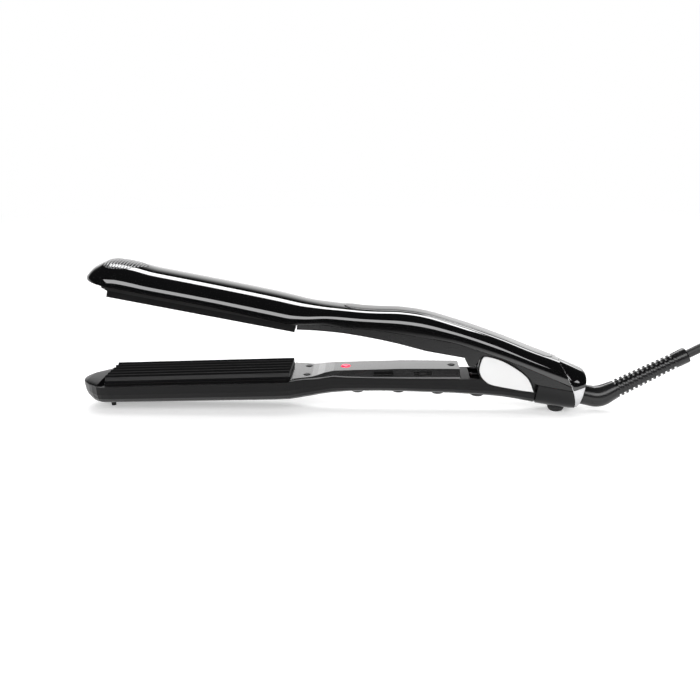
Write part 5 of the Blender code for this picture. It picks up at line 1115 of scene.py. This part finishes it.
# Lower cover, panel, lamp and switches
# The lower shell is satin black nylon and ends in the two cheeks of the hinge lug. The
# panel over it is smoother, with a red pilot lamp, a push button and a slide switch.
shell_finish = moulded("lower_black_nylon", (0.003, 0.003, 0.0033), (0.005, 0.005, 0.0053), 0.32,
                       grain=2600.0, mottle=70.0, depth=0.000012, specular=0.2)
panel_finish = moulded("panel_black_nylon", (0.02, 0.02, 0.0205), (0.03, 0.03, 0.0305), 0.2,
                       grain=2600.0, mottle=70.0, depth=0.000008, specular=1.0, coat=1.0)
button_finish = moulded("button_black_abs", (0.004, 0.004, 0.004), (0.008, 0.008, 0.008), 0.2,
                        spread=0.04, rub=0.1, grain=2400.0, mottle=150.0, depth=0.000006)
knob_finish = moulded("knob_black_abs", (0.006, 0.006, 0.006), (0.011, 0.011, 0.011), 0.42, rub=0.1,
                      grain=2400.0, mottle=150.0)
screw_finish = moulded("dark_screw", (0.012, 0.012, 0.013), (0.03, 0.03, 0.031), 0.3, rub=0.15,
                       grain=1500.0, mottle=300.0, depth=0.00001, metallic=0.9)
leaf_finish = moulded("pearl_leaf", (0.7, 0.7, 0.7), (0.76, 0.76, 0.76), 0.2, spread=0.03, rub=0.06,
                      grain=2600.0, depth=0.000004, coat=0.4)
dress(shell_finish, "lower_cover")
dress(panel_finish, "lower_frame")
dress(button_finish, "power_button")
dress(knob_finish, "slide_knob")
dress(screw_finish, "frame_screw_1", "frame_screw_2", "frame_screw_3")
dress(leaf_finish, "leaf_plate_near", "leaf_plate_far")

GUARD_STATIONS = (0.0446, 0.0450, 0.0475, 0.0500, 0.0504)
GUARD_HALF = 0.0122
GUARD_TOP = 0.0224
GUARD_FOOT = 0.0167
GUARD_WALL = 0.0012
GUARD_EDGE = 0.0003
GUARD_BEVEL = 0.0006
GUARD_LINE_LOW = 0.0190
GUARD_LINE_HIGH = 0.0208
guard_rows = []
for x in GUARD_STATIONS:
    inset = GUARD_EDGE if x in (GUARD_STATIONS[0], GUARD_STATIONS[-1]) else 0.0
    half = GUARD_HALF - inset
    high = GUARD_TOP - inset
    outline = ((-half, GUARD_FOOT), (-half, GUARD_LINE_LOW),
               (-half + GUARD_EDGE, GUARD_LINE_LOW + 0.0002),
               (-half + GUARD_EDGE, GUARD_LINE_HIGH - 0.0002), (-half, GUARD_LINE_HIGH),
               (-half, high - GUARD_BEVEL), (-half + GUARD_BEVEL, high))
    outline += tuple((-y, z) for y, z in reversed(outline))
    side = GUARD_HALF - GUARD_WALL
    roof = GUARD_TOP - GUARD_WALL
    outline += ((side, GUARD_FOOT), (side, roof), (-side, roof), (-side, GUARD_FOOT))
    guard_rows.append([(x, y, z) for y, z in outline])
loft("hinge_guard", guard_rows, shell_finish, "lower_arm", (), 12.0)

lamp_finish = bpy.data.materials.new("pilot_lamp_red")
lamp_finish.use_nodes = True
nodes, links = lamp_finish.node_tree.nodes, lamp_finish.node_tree.links
shader = nodes["Principled BSDF"]
shader.inputs["Roughness"].default_value = 0.15
shader.inputs["Emission Strength"].default_value = 2.2
skin = nodes.new("ShaderNodeGroup")
skin.node_tree = moulded_skin
skin.inputs["Mottle Scale"].default_value = 700.0
for socket, dim, lit in (("Base Color", (0.55, 0.0, 0.03, 1.0), (0.8, 0.02, 0.06, 1.0)),
                         ("Emission Color", (0.45, 0.0, 0.02, 1.0), (1.0, 0.015, 0.06, 1.0))):
    tone = nodes.new("ShaderNodeMix")
    tone.data_type = "RGBA"
    tone.inputs["A"].default_value = dim
    tone.inputs["B"].default_value = lit
    links.new(skin.outputs["Mottle"], tone.inputs["Factor"])
    links.new(tone.outputs["Result"], shader.inputs[socket])
dress(lamp_finish, "led_lens")


# Inside parts
# Heaters, board, switches, wires, pin, spring, bush and fuse, seen only when the tool is
# taken apart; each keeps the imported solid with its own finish.
ceramic_finish = moulded("heater_ceramic", (0.68, 0.65, 0.56), (0.8, 0.77, 0.68), 0.6, spread=0.08,
                         rub=0.05, grain=1800.0, mottle=300.0)
steel_finish = moulded("plain_steel", (0.42, 0.42, 0.43), (0.58, 0.58, 0.59), 0.3, spread=0.06,
                       rub=0.2, grain=1500.0, mottle=300.0, depth=0.00001, metallic=1.0)
board_finish = moulded("green_board", (0.012, 0.11, 0.04), (0.025, 0.2, 0.075), 0.42, spread=0.06,
                       rub=0.05, grain=1500.0, mottle=500.0)
wire_finish = moulded("red_wire", (0.5, 0.012, 0.02), (0.72, 0.025, 0.04), 0.45, spread=0.06,
                      rub=0.05, grain=1800.0, mottle=200.0)
dress(ceramic_finish, "upper_heater", "lower_heater")
dress(screw_finish, "hinge_pin", "jaw_spring", "tail_screw")
dress(steel_finish, "thermal_fuse")
dress(board_finish, "circuit_board")
dress(wire_finish, "upper_wire", "lower_wire", "rear_wire")
dress(knob_finish, "button_switch", "slide_switch", "swivel_socket")
